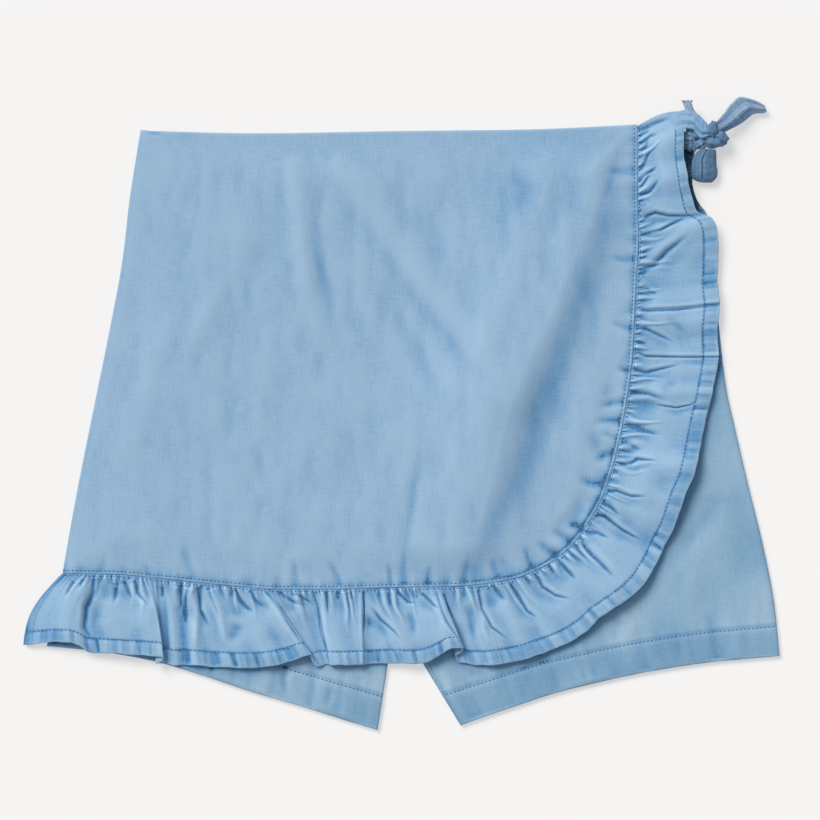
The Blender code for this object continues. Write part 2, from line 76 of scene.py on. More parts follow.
def grid_of(across, down, order="xy"):
    """Both coordinates of every point of a grid."""
    return [item.ravel() for item in np.meshgrid(across, down, indexing=order)]


def placed(name, data):
    """A new object in the scene for a mesh, a light or a camera."""
    item = bpy.data.objects.new(name, data)
    bpy.context.scene.collection.objects.link(item)
    return item


def through(knots, values, at):
    """A smooth line through the values at the knots that never passes beyond them."""
    knots, values, at = (np.asarray(item, float) for item in (knots, values, at))
    step = np.diff(knots)
    slope = np.diff(values) / step
    tangent = np.zeros_like(values)
    tangent[0], tangent[-1] = slope[0], slope[-1]
    same_way = slope[:-1] * slope[1:] > 0
    mean = 2 * slope[:-1] * slope[1:] / np.where(same_way, slope[:-1] + slope[1:], 1.0)
    tangent[1:-1] = np.where(same_way, mean, 0.0)
    index = np.clip(np.searchsorted(knots, at, side="right") - 1, 0, len(step) - 1)
    width = step[index]
    t = (at - knots[index]) / width
    return (values[index] * (1 + 2 * t) * (1 - t) ** 2 + values[index + 1] * t * t * (3 - 2 * t)
            + tangent[index] * width * t * (1 - t) ** 2
            + tangent[index + 1] * width * t * t * (t - 1))


def lengths_along(points):
    """Distance from the first point to each point."""
    steps = np.linalg.norm(np.diff(points, axis=0), axis=1)
    return np.concatenate([[0.0], np.cumsum(steps)])


def smooth_curve(points, steps=24):
    """A smooth curve through the points."""
    points = np.array(points, float)
    knots = lengths_along(points)
    fine = np.linspace(0.0, knots[-1], steps * len(points))
    xy = np.stack([through(knots, points[:, axis], fine) for axis in (0, 1)], axis=1)
    return lengths_along(xy), xy


def straight_curve(points):
    """A curve with sharp corners at the points."""
    points = np.array(points, float)
    return lengths_along(points), points


def along(curve, distance):
    """The curve's point at a distance from its start."""
    lengths, xy = curve
    return np.stack([np.interp(distance, lengths, xy[:, axis]) for axis in (0, 1)], axis=-1)


def part_of(curve, start, end):
    return lambda share: along(curve, start + (end - start) * share)


def whole(curve):
    return part_of(curve, 0.0, curve[0][-1])


def patch(top, bottom, left, right):
    """A sheet stretched between four edges, each a function from 0 to 1."""
    def place(u, v):
        across = (1 - v)[:, None] * top(u) + v[:, None] * bottom(u)
        down = (1 - u)[:, None] * left(v) + u[:, None] * right(v)
        corners = ((1 - u) * (1 - v))[:, None] * top(0.0) + (u * (1 - v))[:, None] * top(1.0)
        corners += ((1 - u) * v)[:, None] * bottom(0.0) + (u * v)[:, None] * bottom(1.0)
        return across + down - corners
    return place


# %% [markdown]
# Small unevenness
#
# No two gathers are alike. A random generator could make them differ, but then each number
# would depend on all the draws before it. Here a fixed scramble of whole numbers gives each
# gather its own size, and soft hills between those numbers give slow changes. Both are plain
# formulas, so the cloth comes out the same on every run.

# %% Fixed scramble and soft hills
def scramble(i, j, seed):
    """A number from 0 to 1 that belongs to the whole numbers i and j."""
    value = np.sin(i * 127.1 + j * 311.7 + seed * 74.7) * 43758.5453
    return value - np.floor(value)


def soft_hills(x, y, seed):
    """Smooth hills from about -1 to 1, roughly one unit apart."""
    i, j = np.floor(x), np.floor(y)
    fx, fy = smooth_step(x - i), smooth_step(y - j)
    low = scramble(i, j, seed) * (1 - fx) + scramble(i + 1, j, seed) * fx
    high = scramble(i, j + 1, seed) * (1 - fx) + scramble(i + 1, j + 1, seed) * fx
    return 2 * (low * (1 - fy) + high * fy) - 1


def hills_along(x, seed):
    """Soft hills that change one way only."""
    return soft_hills(x, 0 * x, seed)


def scramble_of(i, seed):
    """One scrambled number for each whole number i."""
    return scramble(i, 0 * i, seed)


# %% [markdown]
# Creases
#
# Creases come from the gathers, from packing and from wear. Noise would put them in the
# wrong places, and sculpted ones could not be moved by changing a number. So the main ones
# are placed by hand, one row each: the points that a crease runs through, its depth (less
# than 0 for a ridge), its half width, and the height of the ridge that lies along one side of
# it (more than 0 for the side on the left as it runs, less for the right). The cloth on the
# other side of a ridged crease sags into a broad soft hollow.
# Each one narrows and fades at its far end, as pressed creases do, and one that starts in
# the open cloth fades in as well. One that starts at the ruffle seam is deep almost at once.

# %% The ruffle seam, and the shape of a crease
SEAM = [(-182.8, -85.9), (-153.1, -86.4), (-129.9, -88.6), (-93.7, -92.3), (-65.1, -94.5),
        (-43.5, -94.5), (-0.8, -93.4), (28.4, -92.9), (57.0, -89.6), (78.0, -81.5),
        (93.2, -69.1), (101.8, -56.7), (109.4, -42.1), (117.5, -14.0), (122.3, 13.0),
        (124.5, 30.8), (126.6, 72.4), (127.7, 93.4), (127.2, 122.0), (127.2, 156.1)]
SEAM_CORNER = 283.0       # along the seam, where the panel's bottom turns into its side
AT_SEAM = 6.0             # a crease that starts this near the seam comes out of a gather
RIDGE_SHARE, HOLLOW_SHARE = 0.55, 0.60     # how much of the ridge and the depth they have
FADE_IN, FADE_OUT = 0.35, 0.45             # shares of a crease's length
WIDE_START, NARROWING = 1.35, 0.6          # its width at the start, and what it loses
seam = smooth_curve(SEAM)
print("ruffle seam", round(seam[0][-1]), "mm")


def crease_heights(x, y, creases):
    """How much the creases raise or lower the cloth at x, y."""
    lift = np.zeros(x.shape)
    for points, depth, width, ridge in creases:
        points = np.array(points, float)
        reach = 8 * width + 4
        near = np.nonzero((x > points[:, 0].min() - reach) & (x < points[:, 0].max() + reach)
                          & (y > points[:, 1].min() - reach) & (y < points[:, 1].max() + reach))
        px, py = x[near], y[near]
        if not len(px):
            continue
        best = np.full(px.shape, 1e6)
        side = np.zeros(px.shape)
        chord = points[-1] - points[0]
        share = np.clip(((px - points[0, 0]) * chord[0] + (py - points[0, 1]) * chord[1])
                        / (chord @ chord), 0.0, 1.0)
        for (ax, ay), (bx, by) in zip(points[:-1], points[1:]):
            length = math.hypot(bx - ax, by - ay)
            dx, dy = (bx - ax) / length, (by - ay) / length
            run = np.clip((px - ax) * dx + (py - ay) * dy, 0.0, length)
            off_x, off_y = px - ax - run * dx, py - ay - run * dy
            distance = np.hypot(off_x, off_y)
            closer = distance < best
            best = np.where(closer, distance, best)
            side = np.where(closer, off_y * dx - off_x * dy, side)
        at_seam = np.hypot(*(seam[1] - points[0]).T).min() < AT_SEAM
        fade = smooth_step((1 - share) / FADE_OUT)
        fade *= smooth_step(share / 0.06 + 0.4) if at_seam else smooth_step(share / FADE_IN)
        wide = width * (WIDE_START - NARROWING * share)
        here = -depth * bell(best, wide)
        if ridge:
            apart = best * np.clip(side * math.copysign(1.0, ridge) / (0.3 * best + 1e-6), -1, 1)
            beside = RIDGE_SHARE * abs(ridge) * bell(apart / wide - 2.0, 1.4)
            hollow = bell(apart + 2.5 * wide + 1.0, 2.5 * wide + 1.0)
            here += beside * smooth_step(share / 0.12)
            here -= HOLLOW_SHARE * depth * hollow * smooth_step(share / 0.5)
        lift[near] += here * fade
    return lift


# %% [markdown]
# Washed chambray
#
# Chambray is a plain weave of dyed warp and white weft. Its threads are uneven, which gives
# fine pale and dark streaks both ways. A picture of cloth could be laid over it all, but it
# would repeat, and would know nothing of the folds. So the streaks are stretched noise, and
# every point of a piece carries two facts: "wear_and_painted_light", from 0 in a tight recess
# to 1 on a rubbed edge, and "cloth", its place on the flat cloth in millimetres, so that the
# threads follow each piece's own grain, also round the corner. The first fact holds real wash
# wear together with painted shade in recesses and gaps and painted light on some faces.

# %% Chambray material
UNEVENNESS = [
    # size across and down in mm, and how far it shifts the wear
    (0.7, 9.0, 0.26),         # warp threads
    (7.0, 0.8, 0.22),         # weft threads
    (22.0, 30.0, 0.22),       # patches from the wash
    (1.3, 1.3, 0.18),         # specks
]
# Where the ramp puts its colours; its first colour is a painted shade
PAINTED_SHADE_AT, DEEP_AT, BODY_AT, WORN_AT = 0.0, 0.13, 0.5, 0.98
WEAVE_HEIGHT = 0.00012        # metres


def node_of(tree, kind, **settings):
    """A new shader node with its settings."""
    node = tree.nodes.new(kind)
    for name, value in settings.items():
        setattr(node, name, value)
    return node


def streaks(tree, cloth, across, down):
    """Uneven threads: noise that is stretched one way."""
    scale = node_of(tree, "ShaderNodeVectorMath", operation="MULTIPLY")
    scale.inputs[1].default_value = (1 / across, 1 / down, 1.0)
    noise = node_of(tree, "ShaderNodeTexNoise")
    noise.inputs["Scale"].default_value = 1.0
    noise.inputs["Detail"].default_value = 2.0
    tree.links.new(cloth, scale.inputs[0])
    tree.links.new(scale.outputs[0], noise.inputs["Vector"])
    return noise.outputs["Fac"]


def weighted(tree, value, weight, total):
    """total + weight * (value - 0.5)."""
    scaled = node_of(tree, "ShaderNodeMath", operation="MULTIPLY_ADD")
    scaled.inputs[1].default_value = weight
    scaled.inputs[2].default_value = -weight / 2
    tree.links.new(value, scaled.inputs[0])
    added = node_of(tree, "ShaderNodeMath", operation="ADD")
    tree.links.new(scaled.outputs[0], added.inputs[0])
    tree.links.new(total, added.inputs[1])
    return added.outputs[0]


def chambray(name, inner, deep, body, worn):
    """Washed chambray, from a painted shade colour and the full dye inside folds to the rubbed
    edges.
    """
    cloth = bpy.data.materials.new(name)
    cloth.use_nodes = True
    tree = cloth.node_tree
    shader = tree.nodes["Principled BSDF"]
    wear_and_painted_light = node_of(tree, "ShaderNodeAttribute", attribute_name="wear_and_painted_light")
    place = node_of(tree, "ShaderNodeAttribute", attribute_name="cloth")
    tone = wear_and_painted_light.outputs["Fac"]
    noises = []
    for across, down, weight in UNEVENNESS:
        noises.append(streaks(tree, place.outputs["Vector"], across, down))
        tone = weighted(tree, noises[-1], weight, tone)
    warp, weft = noises[:2]
    ramp = node_of(tree, "ShaderNodeValToRGB")
    first, last = ramp.color_ramp.elements
    first.position, first.color = PAINTED_SHADE_AT, (*inner, 1.0)
    last.position, last.color = WORN_AT, (*worn, 1.0)
    for position, colour in ((DEEP_AT, deep), (BODY_AT, body)):
        ramp.color_ramp.elements.new(position).color = (*colour, 1.0)
    tree.links.new(tone, ramp.inputs["Fac"])
    tree.links.new(ramp.outputs["Color"], shader.inputs["Base Color"])
    bump = node_of(tree, "ShaderNodeBump")
    bump.inputs["Strength"].default_value = 0.35
    bump.inputs["Distance"].default_value = WEAVE_HEIGHT
    tree.links.new(weighted(tree, weft, 1.0, warp), bump.inputs["Height"])
    tree.links.new(bump.outputs["Normal"], shader.inputs["Normal"])
    shader.inputs["Roughness"].default_value = 0.88
    shader.inputs["Specular IOR Level"].default_value = 0.25
    shader.inputs["Sheen Weight"].default_value = 0.12
    shader.inputs["Sheen Roughness"].default_value = 0.5
    return cloth


# The first colour of each cloth is a painted shade, for its darkest painted places
overskirt_cloth = chambray("overskirt_chambray", (0.040, 0.110, 0.230),
                           (0.120, 0.300, 0.520), (0.292, 0.452, 0.622),
                           (0.385, 0.565, 0.740))
ruffle_cloth = chambray("ruffle_chambray", (0.035, 0.110, 0.240), (0.090, 0.265, 0.500),
                        (0.262, 0.436, 0.620), (0.400, 0.585, 0.770))
shorts_cloth = chambray("shorts_chambray", (0.020, 0.050, 0.100), (0.125, 0.280, 0.460),
                        (0.232, 0.396, 0.554), (0.430, 0.570, 0.690))
tie_cloth = chambray("tie_chambray", (0.018, 0.040, 0.085), (0.060, 0.130, 0.250),
                     (0.150, 0.265, 0.410), (0.400, 0.520, 0.660))
print("cloths:", overskirt_cloth.name, ruffle_cloth.name, shorts_cloth.name, tie_cloth.name)

# %% [markdown]
# Thread
#
# The seams are sewn with a blue thread, darker than the washed cloth because polyester
# thread keeps its dye. Its twisted plies could be modelled, but at this size a fine change
# of tone looks the same.

# %% Thread material
def thread_of(name, ply_scale, dark, pale, roughness):
    """Thread whose plies give it fine darker and paler spots."""
    material = bpy.data.materials.new(name)
    material.use_nodes = True
    tree = material.node_tree
    shader = tree.nodes["Principled BSDF"]
    ply = node_of(tree, "ShaderNodeTexNoise")
    ply.inputs["Scale"].default_value = ply_scale
    tint = node_of(tree, "ShaderNodeValToRGB")
    tint.color_ramp.elements[0].color = (*dark, 1.0)
    tint.color_ramp.elements[1].color = (*pale, 1.0)
    tree.links.new(ply.outputs["Fac"], tint.inputs["Fac"])
    tree.links.new(tint.outputs["Color"], shader.inputs["Base Color"])
    shader.inputs["Roughness"].default_value = roughness
    return material


thread = thread_of("sewing_thread", 900.0, (0.028, 0.090, 0.195), (0.070, 0.180, 0.340), 0.6)

# %% [markdown]
# From points to cloth
#
# A piece is a grid of points with a thin wall about it. A cloth simulation could drape it,
# but it would come to rest in folds of its own and not in this garment's, so every height
# comes from a formula. Wear and painted shade are read from the shape itself: a point that
# stands above its surroundings was rubbed pale in the wash, and a point below them is painted
# darker, partly as dye that it kept and partly as painted shade.

# %% Cloth from a grid of points
WALL = 0.7                # the scene's cloth is thinner than the solid that it stands for
# Blue below is partly dye kept in recesses and partly painted shade
RUBBED, RECESSED = 0.65, 1.15     # how fast cloth goes pale on ridges, and blue below


def smoothed(heights, reach):
    """Heights averaged over a square of points."""
    for axis in (0, 1):
        pad = [(0, 0), (0, 0)]
        pad[axis] = (reach + 1, reach)
        total = np.cumsum(np.pad(heights, pad, mode="edge"), axis=axis)
        size = 2 * reach + 1
        high = np.take(total, range(size, total.shape[axis]), axis)
        low = np.take(total, range(0, total.shape[axis] - size), axis)
        heights = (high - low) / size
    return heights


def wear_and_painted_shade_of(heights, reach, gain):
    """A little paler on ridges, as wash wear, and bluer in recesses, partly as kept dye and partly
    as painted shade.
    """
    above = heights - smoothed(heights, reach)
    return np.clip(0.5 + gain * above * np.where(above > 0, RUBBED, RECESSED), 0.02, 0.98)


def finish_mesh(mesh, wear_and_painted_light, place, cloth):
    """Gives a mesh its wear and painted light, its place on the flat cloth and its material."""
    mesh.attributes.new("wear_and_painted_light", "FLOAT", "POINT").data.foreach_set("value", wear_and_painted_light.ravel())
    mesh.attributes.new("cloth", "FLOAT_VECTOR", "POINT").data.foreach_set(
        "vector", place.ravel())
    mesh.shade_smooth()
    mesh.materials.append(cloth)


def cloth_object(name, node, points, flat_place, wear_and_painted_light, cloth, wall=WALL):
    """A piece of cloth from rows and columns of points in millimetres."""
    rows, columns = points.shape[:2]
    index = np.arange(rows * columns).reshape(rows, columns)
    quads = np.stack([index[:-1, :-1], index[1:, :-1], index[1:, 1:], index[:-1, 1:]], axis=-1)
    quads = quads.reshape(-1, 4)
    flat = points.reshape(-1, 3)
    first, second = flat[quads[:, 2]] - flat[quads[:, 0]], flat[quads[:, 3]] - flat[quads[:, 1]]
    if np.cross(first, second)[:, 2].sum() < 0:
        quads = quads[:, ::-1]
    mesh = bpy.data.meshes.new(name)
    mesh.from_pydata((flat * MM).tolist(), [], quads.tolist())
    place = np.concatenate([flat_place.reshape(-1, 2), np.zeros((len(flat), 1))], axis=1)
    finish_mesh(mesh, wear_and_painted_light, place, cloth)
    piece = placed(name, mesh)
    shell = piece.modifiers.new("wall", "SOLIDIFY")
    shell.thickness = wall * MM
    shell.offset = 0.0
    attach(piece, "root")
    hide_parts(node)
    print(name, "points", len(flat), "heights", points[..., 2].min().round(2),
          points[..., 2].max().round(2))
    return piece


# %% [markdown]
# Stitches
#
# A lockstitch shows as a row of short thread bars with a dimple between each pair. Painted
# stitches would look flat in a low light, and an object for each would make over a thousand
# of them. So each bar is a small six sided spindle that lies on the cloth, and one row is
# one mesh, which keeps the scene light.

# %% Stitch rows
STITCH_PITCH = 2.2
STITCH_SIZE = (1.40, 0.60, 0.45)      # length, width, height


def spindle():
    """Points and faces of a spindle that runs from -1 to 1."""
    turn = np.linspace(0.0, 2 * np.pi, 6, endpoint=False)
    rings = [np.column_stack([np.full(6, x), np.cos(turn), np.sin(turn)]) for x in (-0.55, 0.55)]
    points = np.concatenate([[[-1.0, 0, 0]], *rings, [[1.0, 0, 0]]])
    faces = []
    for k in range(6):
        after = (k + 1) % 6
        faces += [(0, 1 + after, 1 + k), (1 + k, 1 + after, 7 + after, 7 + k),
                  (13, 7 + k, 7 + after)]
    return points, faces


def bars_object(name, centres, ends, ups, size, material):
    """One mesh of thread bars, each along its direction in ends and facing its up."""
    points, faces = spindle()
    runs = ends / np.linalg.norm(ends, axis=1)[:, None]
    sides = np.cross(ups, runs)
    sides /= np.linalg.norm(sides, axis=1)[:, None]
    ups = np.cross(runs, sides)
    axes = np.stack([runs * size[0] / 2, sides * size[1] / 2, ups * size[2] / 2], axis=1)
    places = (centres[:, None, :] + points @ axes).reshape(-1, 3)
    mesh = bpy.data.meshes.new(name)
    all_faces = [tuple(k * len(points) + corner for corner in face)
                 for k in range(len(centres)) for face in faces]
    mesh.from_pydata((places * MM).tolist(), [], all_faces)
    mesh.shade_smooth()
    mesh.materials.append(material)
    piece = placed(name, mesh)
    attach(piece, "root")
    print(name, "bars", len(centres))
    return piece


def facing_up(count):
    """The way up, once for each bar."""
    return np.tile([0.0, 0.0, 1.0], (count, 1))


def evenly(path, pitch=STITCH_PITCH, look=0.4):
    """Points at an even pitch along a path of points, and the path's direction there."""
    lengths = lengths_along(path)

    def spots_at(distances):
        return np.stack([np.interp(distances, lengths, column) for column in path.T], axis=1)

    at = np.arange(pitch / 2, lengths[-1], pitch)
    return spots_at(at), spots_at(at + look) - spots_at(at - look)


# %% [markdown]
# The overskirt panel
#
# It is one plain piece with a rounded lower corner. The wearer's hip has left a long soft
# fold from the tie down to the hem, and smaller ones fan from the waist. Along the ruffle
# seam the thread pulls the panel into short puckers. The solid could be cut finer and bent,
# but its two faces would then need the same care twice. Here the solid's own formulas give
# the large form again, on one finer grid and with higher folds, so that the lamp shades them
# as in the photo, and the creases are added to it.

# %% Outline of the panel and its large folds
PANEL_Z, FRONT_Z, BACK_Z, SEAM_RISE = 3.1, 1.8, 0.62, 0.3
SEAM_Z = PANEL_Z + SEAM_RISE
PANEL_PUFF, PANEL_EDGE = 0.9, 0.11
PANEL_WAIST = [(-140.7, 152.8), (-79.7, 151.4), (-0.8, 152.6), (66.7, 153.4), (127.2, 156.1)]
PANEL_SIDE = [(-140.7, 152.8), (-142.8, 140.0), (-146.6, 115.6), (-150.4, 83.2), (-156.3, 50.8),
              (-166.1, 2.2), (-175.8, -46.4), (-182.8, -85.9)]
PANEL_FOLDS = [
    # x0, y0, x1, y1, x2, y2, height0, height1, height2, left, right
    (101.8, 107.5, 57.0, 7.6, 32.7, -92.0, 2.8, 7.6, 2.8, 38.0, 14.5),
    (-57.5, 134.5, -52.1, 72.4, -44.0, 40.0, 1.1, 1.7, 0.4, 6.5, 7.0),
    (-33.2, 134.5, 15.4, 67.0, 61.3, 7.6, 1.2, 2.3, 0.6, 7.5, 10.5),
    (-81.8, 96.7, -114.2, 42.7, -150.0, -14.0, 0.6, 1.3, 0.4, 13.0, 9.0),
    (85.0, 142.0, 55.0, 67.0, 26.0, 7.0, 0.8, 1.1, 0.3, 14.0, 11.0),
]
CREST_WIDTH = 8.0         # over this width a fold's left side turns into its right side


def fold_height(x, y, fold):
    """How much one fold lifts the overskirt at x, y."""
    x0, y0, x1, y1, x2, y2, *heights, left, right = fold
    best = np.full(x.shape, 1e6)
    lift = np.zeros(x.shape)
    runs = [((x0, y0), (x1, y1), heights[0], heights[1]),
            ((x1, y1), (x2, y2), heights[1], heights[2])]
    for (ax, ay), (bx, by), low, high in runs:
        length = np.hypot(bx - ax, by - ay)
        dx, dy = (bx - ax) / length, (by - ay) / length
        run = (x - ax) * dx + (y - ay) * dy
        share = np.clip(run / length, 0.0, 1.0)
        past = np.maximum(0.0, np.maximum(-run, run - length))
        side = (y - ay) * dx - (x - ax) * dy
        reach = left + (right - left) * smooth_step(0.5 + side / CREST_WIDTH)
        distance = np.hypot(side, past)
        here = (low + (high - low) * share) * bell(distance, reach)
        closer = distance < best
        lift = np.where(closer, here, lift)
        best = np.where(closer, distance, best)
    return lift


# %% Creases of the panel
PANEL_CREASES = [
    # points, depth, half width, ridge
    ([(-84.5, 104.8), (-108.8, 61.6), (-133.1, 7.6), (-146.6, -14.0)], 0.7, 7.0, 0.0),
    ([(-22.4, 85.9), (-2.0, 50.0), (20.8, 10.3), (28.0, -6.0)], 0.8, 6.5, 0.4),
    ([(10.0, -14.0), (4.6, -57.2), (1.9, -84.2)], 0.5, 3.0, 0.0),
    ([(66.0, 136.0), (66.0, 120.0), (60.0, 100.0)], 0.7, 7.0, 0.0),
    ([(-48.0, 120.0), (-44.0, 84.0), (-36.0, 50.0)], 0.5, 4.0, 0.0),
    ([(108.0, 100.0), (101.8, 56.2), (85.6, 7.6), (61.3, -57.2)], 0.6, 9.0, 0.0),
    ([(-140.7, 153.2), (-134.0, 151.6), (-127.3, 150.4)], 0.5, 0.9, -0.3),
    ([(122.8, 22.7), (115.3, 25.4)], 0.5, 1.5, 0.2),
    ([(120.5, 6.5), (114.0, 6.2), (106.3, 4.0)], 0.8, 1.9, 0.3),
    ([(118.5, -3.2), (112.0, -3.0), (102.0, -4.8)], 0.8, 2.0, 0.3),
    ([(117.0, -13.4), (111.0, -11.0), (106.0, -10.3)], 0.6, 1.5, 0.2),
    ([(115.0, -19.0), (110.0, -21.6), (103.0, -26.0)], 0.9, 2.4, 0.3),
    ([(110.0, -37.0), (103.5, -37.4), (94.0, -35.0)], 0.8, 2.6, 0.0),
    ([(-57.3, -93.3), (-57.3, -88.0), (-58.3, -76.0)], 0.5, 1.9, 0.3),
    ([(-33.2, -92.5), (-35.0, -87.0), (-39.5, -78.0)], 0.6, 1.9, 0.0),
    ([(-5.7, -92.5), (-6.4, -86.0), (-7.6, -79.0)], 0.6, 1.2, 0.2),
    ([(1.1, -92.5), (1.2, -84.0), (1.6, -70.0)], 0.45, 1.6, 0.2),
    ([(14.0, -92.0), (15.4, -80.0)], 0.5, 1.5, 0.0),
    ([(33.0, -91.5), (34.0, -86.0), (36.5, -76.0)], 0.45, 1.7, 0.2),
    ([(-136.4, -87.8), (-138.5, -79.0)], 0.4, 1.3, 0.0),
    ([(-113.2, -89.5), (-115.0, -82.0), (-118.5, -68.0)], 0.5, 2.6, 0.0),
    ([(-162.0, -86.0), (-160.0, -76.0)], 0.4, 1.6, 0.0),
    ([(98.5, -61.5), (94.0, -60.0), (88.0, -59.0)], 0.9, 2.2, 0.3),
    ([(92.0, -69.0), (88.0, -66.5), (80.0, -62.0)], 0.9, 2.6, 0.3),
    ([(84.5, -76.0), (79.0, -73.0), (72.0, -68.0)], 0.8, 2.4, 0.0),
    ([(70.5, -84.0), (68.5, -79.0), (66.0, -70.0)], 0.6, 1.6, 0.2),
    ([(52.0, -89.6), (50.5, -84.0), (48.0, -76.0)], 0.6, 1.6, 0.2),
    ([(125.0, 46.0), (120.0, 47.0), (112.0, 50.0)], 0.5, 1.6, 0.2),
    ([(126.2, 84.0), (120.0, 83.0), (112.0, 84.5)], 0.5, 1.8, 0.0),
    ([(126.4, 132.0), (118.0, 130.5), (108.0, 131.5)], 0.45, 1.8, 0.0),
    ([(112.0, -8.0), (104.0, -34.0), (93.0, -54.0), (78.0, -68.0), (58.0, -77.0)], 0.5, 5.0, 0.0),
]
print("creases on the panel:", len(PANEL_CREASES))

# %% The panel's cloth
SEAM_BAND = 1.7           # from the panel's turned edge to the stitches that hold it
PANEL_COLUMNS, PANEL_ROWS = 210, 172
# Painted shade along the foot of the long fold, and a darker spot above the hip
SHADED_FOLD = [(108.0, 106.0), (95.6, 66.7), (83.6, 26.8), (71.6, -9.2), (55.5, -49.0),
               (38.0, -82.0)]
HIP_SPOT, HIP_SPOT_SIZE = (72.0, 126.0), (34.0, 26.0)
LOWEST_PANEL = 2.65       # the panel lies on the shorts and never sinks into them
# How strong each dyed, rubbed or painted-shade line is, and how far it reaches in mm
AT_STITCHES, ON_EDGE, SHADE_ALONG_FOLD, SHADE_ROUND_CORNER = (0.25, 1.0), (0.16, 0.8), (0.17, 7.5), (0.30, 6.5)
IN_HIP_SPOT = 0.14
# Where the painted shade round the corner lies along the seam
CORNER_START, CORNER_END, CORNER_EASE = 215.0, 350.0, 40.0      # along the seam
STITCH_DITCH = 0.16       # how deep a row of stitches lies in the cloth


def from_curve(curve, xy, step=0.7):
    """Distance to a curve, and how far along it its nearest point is."""
    distances, nearest = np.full(len(xy), np.inf), np.zeros(len(xy))
    for distance in np.arange(0.0, curve[0][-1], step):
        x, y = along(curve, distance)
        here = np.hypot(xy[:, 0] - x, xy[:, 1] - y)
        closer = here < distances
        distances = np.where(closer, here, distances)
        nearest = np.where(closer, distance, nearest)
    return distances, nearest


def panel_heights(u, v, xy):
    """The panel's height with its folds, creases, seam band and puckers."""
    x, y = xy.T
    inside = smooth_step(np.minimum.reduce([u, 1 - u, v, 1 - v]) / PANEL_EDGE)
    lift = sum(fold_height(x, y, fold) for fold in PANEL_FOLDS)
    off, run = from_curve(seam, xy)
    band = smooth_step((SEAM_BAND - off) / 0.7)
    ditch = bell(off - SEAM_BAND - 0.2, 0.6)
    pucker = hills_along(run / 4.6, 11) + 0.7 * hills_along(run / 2.4, 12)
    pull = 0.26 * pucker * np.exp(-np.maximum(off - SEAM_BAND, 0.0) / 3.5)
    pull += 0.22 * hills_along(run / 8, 15) * np.exp(-off / 12)
    drape = 0.50 * soft_hills(x / 15, y / 32, 13) + 0.16 * soft_hills(x / 5.5, y / 13, 14)
    side_edge = smooth_step(u / 0.012)
    height = PANEL_Z + inside * (PANEL_PUFF + lift) + crease_heights(x, y, PANEL_CREASES)
    height += drape * inside + pull - STITCH_DITCH * ditch + (SEAM_RISE + 0.1) * band
    return height - 0.3 * (1 - side_edge)


def resting(heights, lowest, ease=0.35):
    """Heights eased so that none is below what the piece lies on."""
    low = np.exp(np.minimum(heights - lowest - ease, 0.0) / ease)
    return np.where(heights < lowest + ease, lowest + ease * low, heights)


panel_shape = patch(whole(smooth_curve(PANEL_WAIST)), part_of(seam, 0.0, SEAM_CORNER),
                    whole(smooth_curve(PANEL_SIDE)), part_of(seam, seam[0][-1], SEAM_CORNER))
u, v = grid_of(np.linspace(0, 1, PANEL_COLUMNS), np.linspace(0, 1, PANEL_ROWS))
panel_xy = panel_shape(u, v)
panel_z = panel_heights(u, v, panel_xy)
panel_grid = np.column_stack([panel_xy, resting(panel_z, LOWEST_PANEL)])
panel_grid = panel_grid.reshape(PANEL_ROWS, PANEL_COLUMNS, 3)
seam_off, seam_run = from_curve(seam, panel_xy)
fold_off, _ = from_curve(smooth_curve(SHADED_FOLD), panel_xy, 2.0)
in_corner = (smooth_step((seam_run - CORNER_START) / CORNER_EASE)
             * smooth_step((CORNER_END - seam_run) / CORNER_EASE))
at_hip = ((panel_xy - HIP_SPOT) / HIP_SPOT_SIZE) ** 2
# Darker along the stitches and paler on the turned edge, with painted shade along the long fold
# and round the corner, and a darker spot above the hip
dye_and_painted_shade = AT_STITCHES[0] * bell(seam_off - SEAM_BAND, AT_STITCHES[1])
dye_and_painted_shade -= ON_EDGE[0] * bell(seam_off, ON_EDGE[1])
dye_and_painted_shade += SHADE_ALONG_FOLD[0] * bell(fold_off, SHADE_ALONG_FOLD[1])
dye_and_painted_shade += SHADE_ROUND_CORNER[0] * bell(seam_off, SHADE_ROUND_CORNER[1]) * in_corner
dye_and_painted_shade += IN_HIP_SPOT * np.exp(-at_hip.sum(axis=1))
dye_and_painted_shade = dye_and_painted_shade.reshape(PANEL_ROWS, PANEL_COLUMNS)
panel_wear_and_painted_shade = wear_and_painted_shade_of(panel_z.reshape(dye_and_painted_shade.shape), 4, 0.55) - dye_and_painted_shade
overskirt = cloth_object("overskirt_panel", "wrap_panel", panel_grid,
                         panel_xy.reshape(PANEL_ROWS, PANEL_COLUMNS, 2),
                         np.clip(panel_wear_and_painted_shade, 0.02, 0.98), overskirt_cloth)

# %% [markdown]
# The ruffle
#
# The ruffle is a straight strip, gathered on to the panel and free at its hem, so it falls
# in large folds there, and where there is too much cloth the folds tip over into pleats.
# An even wave would be the short way, but it can't tip over, and no two of these folds are
# alike. So each row of the table is one section across the strip: where it starts on the
# seam, where its hem lies, and how far its middle bows along the seam. Where the hem's X
# turns back, the cloth is folded under itself. A column of the grid is one gather's half
# width, and the grid here has five steps in each.

